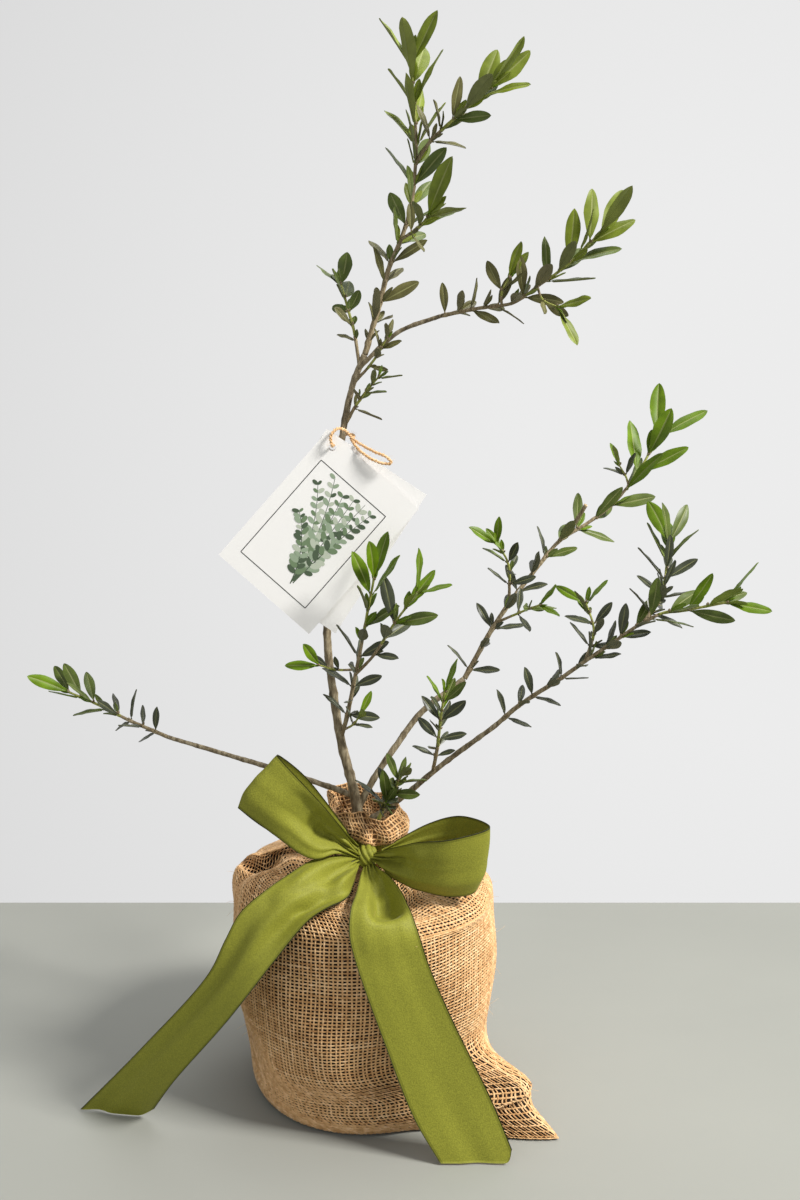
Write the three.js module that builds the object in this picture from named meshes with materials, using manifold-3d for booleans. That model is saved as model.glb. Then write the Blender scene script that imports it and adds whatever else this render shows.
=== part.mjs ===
// A young olive tree in a nursery pot. The pot stands in a burlap sack, whose neck is gathered
// round the stems and tied with a wide satin ribbon, and two care cards hang on jute twine.
// Millimetres, +Z up, -Y towards the viewer. The origin is the centre of the sack's flat underside.
import * as THREE from 'three';
import { mergeVertices } from 'three/addons/utils/BufferGeometryUtils.js';
import Module from 'manifold-3d';

const wasm = await Module();
wasm.setup();

// Driving dimensions
const GAP = 0.3;
const SACK_CLOTH = 1.6;
const POT_HEIGHT = 118;
const POT_FOOT_RADIUS = 57;
const POT_RIM_RADIUS = 77;
const POT_WALL = 1.4;
const POT_LIP = 9;
const SOIL_LEVEL = 112;
const NECK_HEIGHT = 153;
const NECK_RADIUS = 17.5;
const RIBBON_THICKNESS = 0.8;
const CARD_WIDTH = 78;
const CARD_HEIGHT = 108;
const CARD_THICKNESS = 0.6;
const TWINE_RADIUS = 1.1;

// How limbs, twigs and leaves are drawn
const STEPS_PER_SPAN = 12;
const LIMB_SIDES = 8;
const TWIG_SIDES = 4;
const LIMB_STEP = 13;
const TWIG_STEP = 18;
const LEAF_THICKNESS = 0.9;
const LEAF_WIDTHS = [0.26, 0.34];
const LEAF_BENDS = [-0.16, 0.06];
const LEAF_TWISTS = [-58, 58];
const LEAF_MIDDLE = 0.5;
const YOUNG_LENGTH = 0.5;
const YOUNG_CHANCE = 0.16;
const LIMB_ROOM = 4;
const FACE_TURN = 0.72;
const LIGHT = new THREE.Vector3(0.25, -0.78, 0.57).normalize();
const DEPTH = new THREE.Vector3(0, 1, 0);
const TINY_EDGE = 0.02;

const radians = (degrees) => (degrees * Math.PI) / 180;
const mix = (from, to, share) => from + (to - from) * share;
const vector = (point) => (point.isVector3 ? point.clone() : new THREE.Vector3(...point));

// A seeded row of numbers from 0 to 1
function seeded(seed) {
  let state = seed >>> 0;
  return () => {
    state = (state + 0x6d2b79f5) >>> 0;
    let t = Math.imul(state ^ (state >>> 15), state | 1);
    t ^= t + Math.imul(t ^ (t >>> 7), t | 61);
    return ((t ^ (t >>> 14)) >>> 0) / 4294967296;
  };
}

// Steps between a few values that are spread evenly from 0 to 1
function along(values, share) {
  const place = Math.min(Math.max(share, 0), 1) * (values.length - 1);
  const index = Math.min(Math.floor(place), values.length - 2);
  return mix(values[index], values[index + 1], place - index);
}

// A smooth route through a few points, kept as short steps with their distance along it
function makeRoute(points) {
  const curve = new THREE.CatmullRomCurve3(points.map(vector));
  const steps = curve.getPoints(STEPS_PER_SPAN * (points.length - 1));
  const distance = [0];
  for (let i = 1; i < steps.length; i += 1) {
    distance.push(distance[i - 1] + steps[i].distanceTo(steps[i - 1]));
  }
  return { steps, distance, length: distance[distance.length - 1] };
}

function pointOn(route, share) {
  const target = Math.min(Math.max(share, 0), 1) * route.length;
  let i = 1;
  while (i < route.steps.length - 1 && route.distance[i] < target) i += 1;
  const part = (target - route.distance[i - 1]) / (route.distance[i] - route.distance[i - 1]);
  return new THREE.Vector3().lerpVectors(route.steps[i - 1], route.steps[i], part);
}

function headingOn(route, share) {
  const reach = 2 / route.length;
  const before = pointOn(route, share - reach);
  return pointOn(route, share + reach).sub(before).normalize();
}

// Two directions across a heading: one in the picture plane, one towards the back
function acrossOf(heading) {
  const side = new THREE.Vector3().crossVectors(heading, DEPTH).normalize();
  const back = new THREE.Vector3().crossVectors(side, heading).normalize();
  return { side, back };
}

// A closed mesh from points and triangles, with its faces turned outwards
function closedGeometry(points, triangles) {
  let volume = 0;
  for (const [a, b, c] of triangles) {
    volume += points[a].dot(new THREE.Vector3().crossVectors(points[b], points[c]));
  }
  const faces = volume > 0 ? triangles : triangles.map(([a, b, c]) => [a, c, b]);
  const geometry = new THREE.BufferGeometry();
  geometry.setAttribute('position', new THREE.Float32BufferAttribute(points.flatMap((p) => p.toArray()), 3));
  geometry.setIndex(faces.flat());
  return geometry;
}

// Rings of equal length joined into a closed body, each end closed by a fan
function loftGeometry(rings) {
  const count = rings[0].length;
  const points = rings.flat();
  const triangles = [];
  for (let i = 0; i < rings.length - 1; i += 1) {
    for (let j = 0; j < count; j += 1) {
      const next = (j + 1) % count;
      const [a, b] = [i * count + j, i * count + next];
      const [c, d] = [b + count, a + count];
      triangles.push([a, b, c], [a, c, d]);
    }
  }
  for (const [ring, turned] of [[0, true], [rings.length - 1, false]]) {
    const centre = points.length;
    points.push(rings[ring].reduce((sum, p) => sum.add(p), new THREE.Vector3()).divideScalar(count));
    for (let j = 0; j < count; j += 1) {
      const [a, b] = [ring * count + j, ring * count + ((j + 1) % count)];
      triangles.push(turned ? [centre, b, a] : [centre, a, b]);
    }
  }
  return closedGeometry(points, triangles);
}

// A sheet given as rows of points, thickened to both sides of its middle
function sheetGeometry(rows, thickness) {
  const [length, width] = [rows.length, rows[0].length];
  const normalAt = (i, j) => {
    const down = rows[Math.min(i + 1, length - 1)][j].clone().sub(rows[Math.max(i - 1, 0)][j]);
    const over = rows[i][Math.min(j + 1, width - 1)].clone().sub(rows[i][Math.max(j - 1, 0)]);
    return down.cross(over).normalize();
  };
  const points = [];
  for (const side of [1, -1]) {
    for (let i = 0; i < length; i += 1) {
      for (let j = 0; j < width; j += 1) {
        points.push(rows[i][j].clone().addScaledVector(normalAt(i, j), (side * thickness) / 2));
      }
    }
  }
  const top = (i, j) => i * width + j;
  const under = (i, j) => length * width + i * width + j;
  const triangles = [];
  for (let i = 0; i < length - 1; i += 1) {
    for (let j = 0; j < width - 1; j += 1) {
      triangles.push([top(i, j), top(i + 1, j), top(i + 1, j + 1)]);
      triangles.push([top(i, j), top(i + 1, j + 1), top(i, j + 1)]);
      triangles.push([under(i, j), under(i + 1, j + 1), under(i + 1, j)]);
      triangles.push([under(i, j), under(i, j + 1), under(i + 1, j + 1)]);
    }
  }
  const edge = [];
  for (let j = 0; j < width - 1; j += 1) edge.push([0, j]);
  for (let i = 0; i < length - 1; i += 1) edge.push([i, width - 1]);
  for (let j = width - 1; j > 0; j -= 1) edge.push([length - 1, j]);
  for (let i = length - 1; i > 0; i -= 1) edge.push([i, 0]);
  edge.forEach(([i, j], index) => {
    const [k, l] = edge[(index + 1) % edge.length];
    triangles.push([top(i, j), top(k, l), under(k, l)], [top(i, j), under(k, l), under(i, j)]);
  });
  return closedGeometry(points, triangles);
}

// A tapering round limb along a route, drawn with its true size or grown all round
function limbGeometry(limb, grow = 0) {
  const count = Math.max(3, Math.round(limb.route.length / limb.step));
  const rings = [];
  for (let i = 0; i <= count; i += 1) {
    const share = limb.shares ? along(limb.shares, i / count) : i / count;
    const centre = pointOn(limb.route, share);
    const { side, back } = acrossOf(headingOn(limb.route, share));
    const radius = limb.radius(share) + grow;
    const ring = [];
    for (let k = 0; k < limb.sides; k += 1) {
      const angle = (2 * Math.PI * k) / limb.sides;
      ring.push(centre.clone().addScaledVector(side, radius * Math.cos(angle))
        .addScaledVector(back, radius * Math.sin(angle)));
    }
    rings.push(ring);
  }
  const beyond = headingOn(limb.route, 1).multiplyScalar(grow);
  if (grow > 0) rings.push(rings[count].map((point) => point.clone().add(beyond)));
  return loftGeometry(rings);
}

// A leaf blade with its root inside the twig: a bent outline, flat below and ridged above
function leafGeometry(leaf) {
  const across = new THREE.Vector3().crossVectors(leaf.heading, leaf.face).normalize();
  const spot = (share, aside, up) => leaf.root.clone()
    .addScaledVector(leaf.heading, leaf.length * share)
    .addScaledVector(across, aside * leaf.width)
    .addScaledVector(leaf.face, leaf.bend * leaf.length * share * share + up);
  const rim = [spot(0, 0, 0), spot(0.4, 0.5, 0), spot(0.76, 0.44, 0), spot(1, 0, 0), spot(0.76, -0.44, 0),
    spot(0.4, -0.5, 0)];
  const ridge = rim.map((_, i) => [6, i, (i + 1) % 6]);
  const under = [[0, 5, 1], [1, 5, 4], [1, 4, 2], [2, 4, 3]];
  return closedGeometry([...rim, spot(0.56, 0, LEAF_THICKNESS)], [...ridge, ...under]);
}

// Joining and cutting
function toSolid(geometry) {
  const bare = geometry.index && !geometry.attributes.uv ? geometry : geometry.clone();
  bare.deleteAttribute('normal');
  bare.deleteAttribute('uv');
  const merged = mergeVertices(bare, 1e-4);
  return new wasm.Manifold(new wasm.Mesh({
    numProp: 3,
    vertProperties: new Float32Array(merged.attributes.position.array),
    triVerts: new Uint32Array(merged.index.array),
  }));
}

function toGeometry(solid) {
  const mesh = solid.getMesh();
  const geometry = new THREE.BufferGeometry();
  geometry.setAttribute('position', new THREE.Float32BufferAttribute(Array.from(mesh.vertProperties), 3));
  geometry.setIndex(Array.from(mesh.triVerts));
  return geometry;
}

const joined = (solids) => solids.reduce((whole, solid) => whole.add(solid));

// The largest body of a solid, without the scraps and the tiny edges that a cut leaves
function mainBody(solid) {
  const bodies = solid.simplify(TINY_EDGE).decompose();
  return bodies.reduce((best, body) => (body.volume() > best.volume() ? body : best));
}

// Trunk and main boughs: a few points on each route, and the radius from foot to tip
const limbs = {
  trunk: {
    points: [[-4, 0, SOIL_LEVEL + GAP], [-4, 0, 130], [-5.3, 0, 172], [-15.8, 0, 216], [-25, 2, 284],
      [-22.7, 4, 354.5], [-9, 6, 449], [-0.5, 7, 471]],
    radii: [5.4, 4.0, 3.4, 3.0, 2.7, 2.6, 2.5, 2.4, 2.4, 2.3, 2.2, 2.1, 2.0],
  },
  bough_top_right: {
    points: [[-4, 5.8, 462], [13, 2, 478.4], [24.4, -1, 486.7], [49.8, -8, 494.9]],
    radii: [1.5, 1.35],
  },
  bough_right_high: {
    points: [[-4, 1, 172], [6, 3, 190], [20, 7, 210], [38.5, 12, 232.5], [66.6, 20, 252.3]],
    radii: [2.2, 2.0, 1.8],
  },
  bough_right_low: {
    points: [[-3, -1, 160], [8, -4, 168], [25.7, -8, 181.8], [45.1, -15, 200.2], [85, -28, 234]],
    radii: [2.0, 1.7, 1.5],
  },
  bough_left: {
    points: [[-5, 1, 178], [-25.5, 6, 184], [-68, 16, 194.4], [-111, 26, 203.8], [-137, 32, 209.7]],
    radii: [1.9, 1.6, 1.3],
  },
};

for (const limb of Object.values(limbs)) {
  limb.route = makeRoute(limb.points);
  limb.radius = (share) => along(limb.radii, share);
  limb.step = LIMB_STEP;
  limb.sides = LIMB_SIDES;
}
limbs.trunk.shares = [0, 0.018, 0.05, 0.15, 0.21, 0.3, 0.4, 0.5, 0.6, 0.7, 0.8, 0.9, 1];

// The place just beyond a limb's tip, where the stem of a mass of foliage begins
function tipOf(name) {
  const { route } = limbs[name];
  return pointOn(route, 1).addScaledVector(headingOn(route, 1), GAP);
}

// Masses of foliage. Each shoot has its route after its root, its radius at foot and tip, the share
// where its leaves start, its pairs of leaves, the leaf length from foot to tip, how far a leaf opens
// from the shoot in degrees, the turn of the first pair, and how much the leaves lift.
const masses = [
  {
    name: 'foliage_crown',
    seed: 15,
    root: tipOf('trunk'),
    shoots: [
      { points: [[8, 8.5, 500], [16.4, 10, 531.6], [28.5, 12, 562], [33.9, 14, 607.7], [30.5, 16, 670.4]],
        radii: [2.0, 0.7], first: 0.04, pairs: 15, leaf: [25, 32, 41], open: [62, 28], turn: 20, lift: 0.1 },
      { on: 0, at: 0.4, points: [[34.4, 2, 553.9], [40.8, -6, 559.3]],
        radii: [1.2, 0.7], first: 0.35, pairs: 3, leaf: [22, 30, 38], open: [66, 30], turn: 30, lift: 0.1 },
      { on: 0, at: 0.66, points: [[43.1, 8, 613.3], [59.2, -4, 625.4], [81.3, -14, 641.6]],
        radii: [1.4, 0.7], first: 0.25, pairs: 6, leaf: [26, 33, 38], open: [56, 22], turn: 15, lift: 0.15 },
    ],
  },
  {
    name: 'foliage_upper_left',
    seed: 23,
    root: [-4, 6.4, 463],
    shoots: [
      { points: [[-7, 9, 484], [-12, 14, 503], [-17, 19, 520]],
        radii: [1.2, 0.7], first: 0.3, pairs: 5, leaf: [15, 19, 26], open: [70, 34], turn: 25, lift: 0.1,
        broad: 1.5 },
    ],
  },
  {
    name: 'foliage_fork',
    seed: 31,
    root: [-7, 6.2, 453],
    shoots: [
      { points: [[2, 1, 462], [9, -4, 471], [14, -8, 480]],
        radii: [1.1, 0.6], first: 0.4, pairs: 4, leaf: [12, 14, 15], open: [65, 35], turn: 0, lift: 0.1 },
    ],
  },
  {
    name: 'foliage_trunk',
    seed: 47,
    root: [-12.5, 5.2, 426],
    shoots: [
      { points: [[-6, 1, 437], [1, -4, 446], [9, -8, 455]],
        radii: [1.2, 0.6], first: 0.3, pairs: 5, leaf: [20, 17, 16], open: [72, 40], turn: 10, lift: 0.05 },
    ],
  },
  {
    name: 'foliage_top_right',
    seed: 53,
    root: tipOf('bough_top_right'),
    shoots: [
      { points: [[74.7, -16, 499], [95.3, -22, 501.3], [110.5, -28, 511.2], [127.4, -33, 522.9],
        [148.7, -40, 543.4]],
        radii: [1.35, 0.6], first: 0.02, pairs: 14, leaf: [19, 27, 36], open: [70, 34], turn: 5, lift: 0.36 },
      { on: 0, at: 0.56, points: [[113, -31, 502], [121, -36, 497]],
        radii: [0.9, 0.5], first: 0.5, pairs: 2, leaf: [20, 26], open: [55, 30], turn: 60, lift: 0 },
      { on: 0, at: 0.34, points: [[88, -24, 508], [92, -27, 516]],
        radii: [0.9, 0.5], first: 0.5, pairs: 2, leaf: [22, 24], open: [50, 24], turn: 30, lift: 0.2 },
    ],
  },
  {
    name: 'foliage_right_high',
    seed: 61,
    root: tipOf('bough_right_high'),
    shoots: [
      { points: [[91.3, 30, 292.2], [124.6, 42, 332.4], [138.8, 48, 346.7], [164.9, 55, 361.1],
        [187.8, 62, 382.3], [212.5, 72, 419.9]],
        radii: [1.8, 0.8], first: 0.03, pairs: 15, leaf: [21, 24, 45], open: [66, 32], turn: 10, lift: 0.2 },
      { on: 0, at: 0.26, points: [[96.6, 22, 330.9], [88.4, 14, 344.4]],
        radii: [1.1, 0.6], first: 0.3, pairs: 5, leaf: [18, 22, 24], open: [70, 28], turn: 15, lift: 0.1 },
      { on: 0, at: 0.19, points: [[108, 14, 300], [116.3, 6, 304.5]],
        radii: [1.0, 0.6], first: 0.5, pairs: 3, leaf: [17, 18, 20], open: [66, 36], turn: 40, lift: 0 },
      { on: 0, at: 0.51, points: [[146, 42, 358], [152.2, 36, 369.8]], radii: [1.6, 1.4], pairs: 0 },
      { on: 0, at: 0.8, points: [[183, 52, 390], [178, 48, 397]],
        radii: [0.9, 0.5], first: 0.6, pairs: 2, leaf: [18, 20], open: [50, 26], turn: 20, lift: 0.2 },
    ],
  },
  {
    name: 'foliage_right_low',
    seed: 71,
    root: tipOf('bough_right_low'),
    shoots: [
      { points: [[97.4, -32, 246.1], [120.7, -40, 263.6], [145.3, -48, 283.1], [179.3, -62, 308.5],
        [190.9, -66, 310.8], [216.1, -77, 317.7]],
        radii: [1.5, 0.7], first: 0.04, pairs: 15, leaf: [17, 20, 28], open: [68, 30], turn: 0, lift: 0.24 },
      { on: 0, at: 0.42, points: [[143.7, -40, 294.7], [140.5, -30, 310.7]],
        radii: [1.0, 0.6], first: 0.25, pairs: 5, leaf: [18, 20, 23], open: [76, 50], turn: 10, lift: 0.05 },
      { on: 0, at: 0.69, points: [[181.3, -54, 317], [185.9, -48, 327.3], [190.9, -38, 350]],
        radii: [1.2, 0.7], first: 0.12, pairs: 9, leaf: [20, 23, 33], open: [72, 24], turn: 15, lift: 0.1 },
    ],
  },
  {
    name: 'foliage_left',
    seed: 83,
    root: tipOf('bough_left'),
    shoots: [
      { points: [[-162.5, 37, 218.8], [-192.5, 42, 231.6], [-210, 45, 238]],
        radii: [1.3, 0.7], first: 0.12, pairs: 8, leaf: [18, 23, 29], open: [72, 28], turn: 5, lift: 0.34 },
    ],
  },
  {
    name: 'foliage_front',
    seed: 97,
    root: [-16.2, 0, 217],
    shoots: [
      { points: [[-11.6, -5, 232.6], [-8.1, -11, 250.3], [-1.3, -20, 284.3], [6.7, -30, 326.5]],
        radii: [1.6, 0.7], first: 0.16, pairs: 10, leaf: [21, 26, 33], open: [72, 24], turn: 10, lift: 0.08 },
      { on: 0, at: 0.42, points: [[5.9, -24, 276.1], [20.6, -33, 299.8], [33.5, -40, 318]],
        radii: [1.1, 0.6], first: 0.3, pairs: 5, leaf: [18, 29, 29], open: [66, 28], turn: 20, lift: 0.08 },
      { on: 0, at: 0.45, points: [[-18.3, -22, 267], [-28, -28, 271]],
        radii: [0.9, 0.5], first: 0.45, pairs: 3, leaf: [13, 14, 20], open: [55, 26], turn: 30, lift: 0.08 },
      { on: 0, at: 0.06, points: [[-8, -8, 228], [-3.5, -12, 234]],
        radii: [0.9, 0.5], first: 0.6, pairs: 2, leaf: [14, 19], open: [50, 34], turn: 0, lift: 0.1 },
    ],
  },
  {
    name: 'foliage_base_right',
    seed: 101,
    root: [44.4, -14.7, 199.5],
    shoots: [
      { points: [[47.2, -26, 221], [48.8, -34, 241], [51.1, -40, 257]],
        radii: [1.3, 0.7], first: 0.22, pairs: 8, leaf: [16, 20, 24], open: [72, 28], turn: 20, lift: 0.1 },
    ],
  },
  {
    name: 'foliage_neck',
    seed: 113,
    root: [-4.6, -1, 150],
    shoots: [
      { points: [[2, -10, 159], [7.6, -14.5, 166], [13.5, -20, 180], [18.7, -27, 191], [24.4, -34, 203.3]],
        radii: [1.4, 0.7], first: 0.42, pairs: 8, leaf: [22, 23, 20], open: [70, 30], turn: 5, lift: 0.05 },
      { on: 0, at: 0.5, points: [[12, -21, 181], [14, -26, 183]],
        radii: [0.9, 0.5], first: 0.3, pairs: 3, leaf: [30, 32, 28], open: [80, 60], turn: 10, lift: 0 },
    ],
  },
];

// Things that leaves keep clear of, besides limbs and other masses
const keepOuts = [
  { from: [-36, -13, 300], to: [-20, -13, 405], radius: 3 },
  { from: [-20, -12, 410], to: [-12, 0, 416], radius: 5 },
  { from: [-10, -2, 415], to: [17, -17, 401], radius: 4 },
  { from: [0, 0, 120], to: [0, 0, 158], radius: 27 },
  { from: [3, -32, 150], to: [-60, -58, 208], radius: 26 },
  { from: [3, -32, 150], to: [74, -54, 160], radius: 26 },
];
const CARD_ZONE = { x: [-92, 46], y: [-15.5, -6], z: [286, 424] };

function distanceToSegment(point, from, to) {
  const span = to.clone().sub(from);
  const share = point.clone().sub(from).dot(span) / span.lengthSq();
  return point.distanceTo(from.clone().addScaledVector(span, Math.min(Math.max(share, 0), 1)));
}

function distanceToRoute(point, route) {
  let nearest = Infinity;
  for (let i = 1; i < route.steps.length; i += 1) {
    nearest = Math.min(nearest, distanceToSegment(point, route.steps[i - 1], route.steps[i]));
  }
  return nearest;
}

const between = (value, [low, high]) => value > low && value < high;

// True where a point lies on a limb, a card, the ribbon, the sack or the twine
function isTaken(point) {
  const onLimb = Object.values(limbs).some((limb) => distanceToRoute(point, limb.route) < LIMB_ROOM);
  const onThing = keepOuts.some(({ from, to, radius }) => (
    distanceToSegment(point, vector(from), vector(to)) < radius));
  const onCard = ['x', 'y', 'z'].every((axis) => between(point[axis], CARD_ZONE[axis]));
  return onLimb || onThing || onCard;
}

// True where a point lies nearer to the twigs of another mass than to its own
function isForeign(point, mass) {
  const nearest = (one) => Math.min(...one.shoots.map((shoot) => distanceToRoute(point, shoot.route)));
  const own = nearest(mass);
  return masses.some((other) => other !== mass && nearest(other) < own + 1);
}

// One leaf: it opens from the shoot, lifts, and turns its face partly to the light
function growLeaf(shoot, share, turn, open, length, random) {
  const heading = headingOn(shoot.route, share);
  const { side, back } = acrossOf(heading);
  const draws = Array.from({ length: 7 }, random);
  const angle = radians(turn + mix(-18, 18, draws[0]));
  const opening = radians(open * mix(0.82, 1.18, draws[1]));
  const outward = side.clone().multiplyScalar(Math.cos(angle)).addScaledVector(back, Math.sin(angle));
  const direction = heading.clone().multiplyScalar(Math.cos(opening));
  direction.addScaledVector(outward, Math.sin(opening));
  direction.z += shoot.lift;
  direction.normalize();
  const inner = heading.clone().addScaledVector(direction, -heading.dot(direction)).normalize();
  const face = inner.multiplyScalar(1 - FACE_TURN).addScaledVector(LIGHT, FACE_TURN);
  face.addScaledVector(direction, -face.dot(direction)).normalize();
  face.applyAxisAngle(direction, radians(mix(...LEAF_TWISTS, draws[2])));
  const size = length * mix(0.86, 1.12, draws[3]);
  return {
    root: pointOn(shoot.route, share),
    heading: direction,
    face,
    length: size,
    width: size * mix(...LEAF_WIDTHS, draws[4]) * (shoot.broad ?? 1),
    bend: mix(...LEAF_BENDS, draws[5]),
    kept: draws[6] < (shoot.keep ?? 0.93),
  };
}

// All leaves of a mass, in opposite pairs that turn a quarter from one node to the next,
// some with a small young leaf in their axil
function growLeaves(mass) {
  const random = seeded(mass.seed);
  const leaves = [];
  for (const shoot of mass.shoots) {
    for (let i = 0; i < shoot.pairs; i += 1) {
      const age = shoot.pairs > 1 ? i / (shoot.pairs - 1) : 1;
      const share = mix(shoot.first, 0.985, age);
      const [open, length] = [along(shoot.open, age), along(shoot.leaf, age)];
      for (const half of [0, 180]) {
        const turn = shoot.turn + 90 * i + half;
        leaves.push(growLeaf(shoot, share, turn, open, length, random));
        const young = growLeaf(shoot, share, turn + 30, open * 0.6, length * YOUNG_LENGTH, random);
        young.kept = random() < YOUNG_CHANCE;
        leaves.push(young);
      }
    }
  }
  return leaves.filter((leaf) => {
    const middle = leaf.root.clone().addScaledVector(leaf.heading, leaf.length * LEAF_MIDDLE);
    const tip = leaf.root.clone().addScaledVector(leaf.heading, leaf.length);
    return leaf.kept && [middle, tip].every((point) => !isTaken(point) && !isForeign(point, mass));
  });
}

for (const mass of masses) {
  for (const shoot of mass.shoots) {
    const root = shoot.on === undefined ? mass.root : pointOn(mass.shoots[shoot.on].route, shoot.at);
    shoot.route = makeRoute([root, ...shoot.points]);
    shoot.radius = (share) => along(shoot.radii, share);
    shoot.step = TWIG_STEP;
    shoot.sides = TWIG_SIDES;
  }
}

// The limbs with room round them, which cut the foot of whatever grows on them
const limbCutters = Object.fromEntries(
  Object.entries(limbs).map(([name, limb]) => [name, toSolid(limbGeometry(limb, GAP))]),
);

const boughNames = Object.keys(limbs).filter((name) => name !== 'trunk');

function boughGeometry(name) {
  const solid = toSolid(limbGeometry(limbs[name])).subtract(limbCutters.trunk);
  return toGeometry(mainBody(solid));
}

function massGeometry(mass) {
  const pieces = [...mass.shoots.map((shoot) => limbGeometry(shoot)), ...growLeaves(mass).map(leafGeometry)];
  let solid = joined(pieces.map((piece) => toSolid(piece)));
  for (const cutter of Object.values(limbCutters)) solid = solid.subtract(cutter);
  return toGeometry(mainBody(solid));
}

// The sack: its outline from foot to rim as radius and height
const SACK_OUTLINE = [[70, 0], [74, 9], [78, 31], [83.5, 62], [85.5, 92], [85.5, 116], [82, 127], [72, 133],
  [50, 138], [31, 141.5], [20.5, 144.5], [NECK_RADIUS, 149], [NECK_RADIUS, 157], [21.5, 164], [26, 175]];
const SACK_CURVE = new THREE.SplineCurve(SACK_OUTLINE.map(([r, z]) => new THREE.Vector2(r, z)));
const SACK_COLUMNS = 52;
const SACK_ROWS = SACK_OUTLINE.length - 1;
const SACK_INNER_ROWS = 10;

// What changes round the sack: a shoulder that slopes to the right, pleats gathered towards the neck,
// a rim that stands higher at the back, and a corner of cloth spread on the ground
const SHOULDER = { from: 116, to: 136, drop: 5 };
const RIM = { from: 156, to: 172, rise: 4 };
const PLEATS = { count: 13, depth: 1.5, sway: 0.8 };
const FLAP = { angle: radians(-32), reach: 61, halfAngle: 0.27, height: 52 };

const smooth = (low, high, value) => THREE.MathUtils.smoothstep(value, low, high);
const fade = (low, high, value) => 1 - smooth(low, high, value);

function sackPoint(angle, share, inner) {
  const { x: radius, y: height } = SACK_CURVE.getPoint(share);
  const tangent = SACK_CURVE.getTangent(share);
  const inset = inner ? SACK_CLOTH : 0;
  const top = smooth(SHOULDER.from, SHOULDER.to, height);
  const pleat = PLEATS.depth * Math.cos(PLEATS.count * angle + PLEATS.sway * Math.sin(3 * angle)) * top;
  const atNeck = height > NECK_HEIGHT - 3 || radius < NECK_RADIUS + 3;
  let r = radius - inset * tangent.y + (atNeck ? pleat / 2 : 0);
  let z = height + inset * tangent.x + (atNeck ? 0 : pleat * fade(66, 82, radius));
  z -= SHOULDER.drop * Math.cos(angle) * top * smooth(20, 60, radius);
  z += RIM.rise * Math.sin(angle) * smooth(RIM.from, RIM.to, height);
  if (!inner) {
    const turn = Math.atan2(Math.sin(angle - FLAP.angle), Math.cos(angle - FLAP.angle));
    const spread = Math.exp(-((turn / FLAP.halfAngle) ** 2));
    r += FLAP.reach * spread * fade(0, FLAP.height, height) ** 1.6;
  }
  return new THREE.Vector3(r * Math.cos(angle), r * Math.sin(angle), z);
}

function sackRing(share, inner) {
  const angleOf = (column) => (2 * Math.PI * column) / SACK_COLUMNS;
  return Array.from({ length: SACK_COLUMNS }, (_, column) => sackPoint(angleOf(column), share, inner));
}

function sackGeometry() {
  const rings = [];
  for (let i = 0; i <= SACK_ROWS; i += 1) rings.push(sackRing(i / SACK_ROWS, false));
  for (let i = SACK_INNER_ROWS; i >= 0; i -= 1) rings.push(sackRing(i / SACK_INNER_ROWS, true));
  const floor = rings[rings.length - 1];
  for (const point of floor) point.z = SACK_CLOTH;
  return loftGeometry(rings);
}

// A body turned round the upright axis from its outline of radius and height
function turnedGeometry(outline, segments) {
  const geometry = new THREE.LatheGeometry(outline.map(([r, z]) => new THREE.Vector2(r, z)), segments);
  geometry.rotateX(Math.PI / 2);
  return geometry;
}

// The pot has a small round at its foot and a wider lip, and the soil fills it
const POT_FOOT = SACK_CLOTH + GAP;
const POT_TOP = POT_FOOT + POT_HEIGHT;
const POT_ROUND = 2;
const LIP_STEP = 2.2;
const POT_SEGMENTS = 28;

function potGeometry() {
  const neck = POT_RIM_RADIUS - LIP_STEP;
  return turnedGeometry([[0, POT_FOOT], [POT_FOOT_RADIUS - POT_ROUND, POT_FOOT],
    [POT_FOOT_RADIUS, POT_FOOT + POT_ROUND], [neck, POT_TOP - POT_LIP],
    [POT_RIM_RADIUS, POT_TOP - POT_LIP + 1], [POT_RIM_RADIUS, POT_TOP], [POT_RIM_RADIUS - POT_WALL, POT_TOP], [neck - POT_WALL, POT_TOP - POT_LIP],
    [POT_FOOT_RADIUS - POT_WALL, POT_FOOT + POT_ROUND + POT_WALL], [0, POT_FOOT + POT_ROUND + POT_WALL],
  ], POT_SEGMENTS);
}

function soilGeometry() {
  const foot = POT_FOOT + POT_ROUND;
  const lip = POT_TOP - POT_LIP;
  const inside = (z) => mix(POT_FOOT_RADIUS, POT_RIM_RADIUS - LIP_STEP, (z - foot) / (lip - foot))
    - POT_WALL - 2 * GAP;
  const [low, edge] = [foot + POT_WALL + GAP, SOIL_LEVEL - 3];
  return turnedGeometry([[0, low], [inside(low), low], [inside(edge), edge], [inside(edge) - 3, SOIL_LEVEL],
    [0, SOIL_LEVEL]], POT_SEGMENTS);
}

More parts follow.
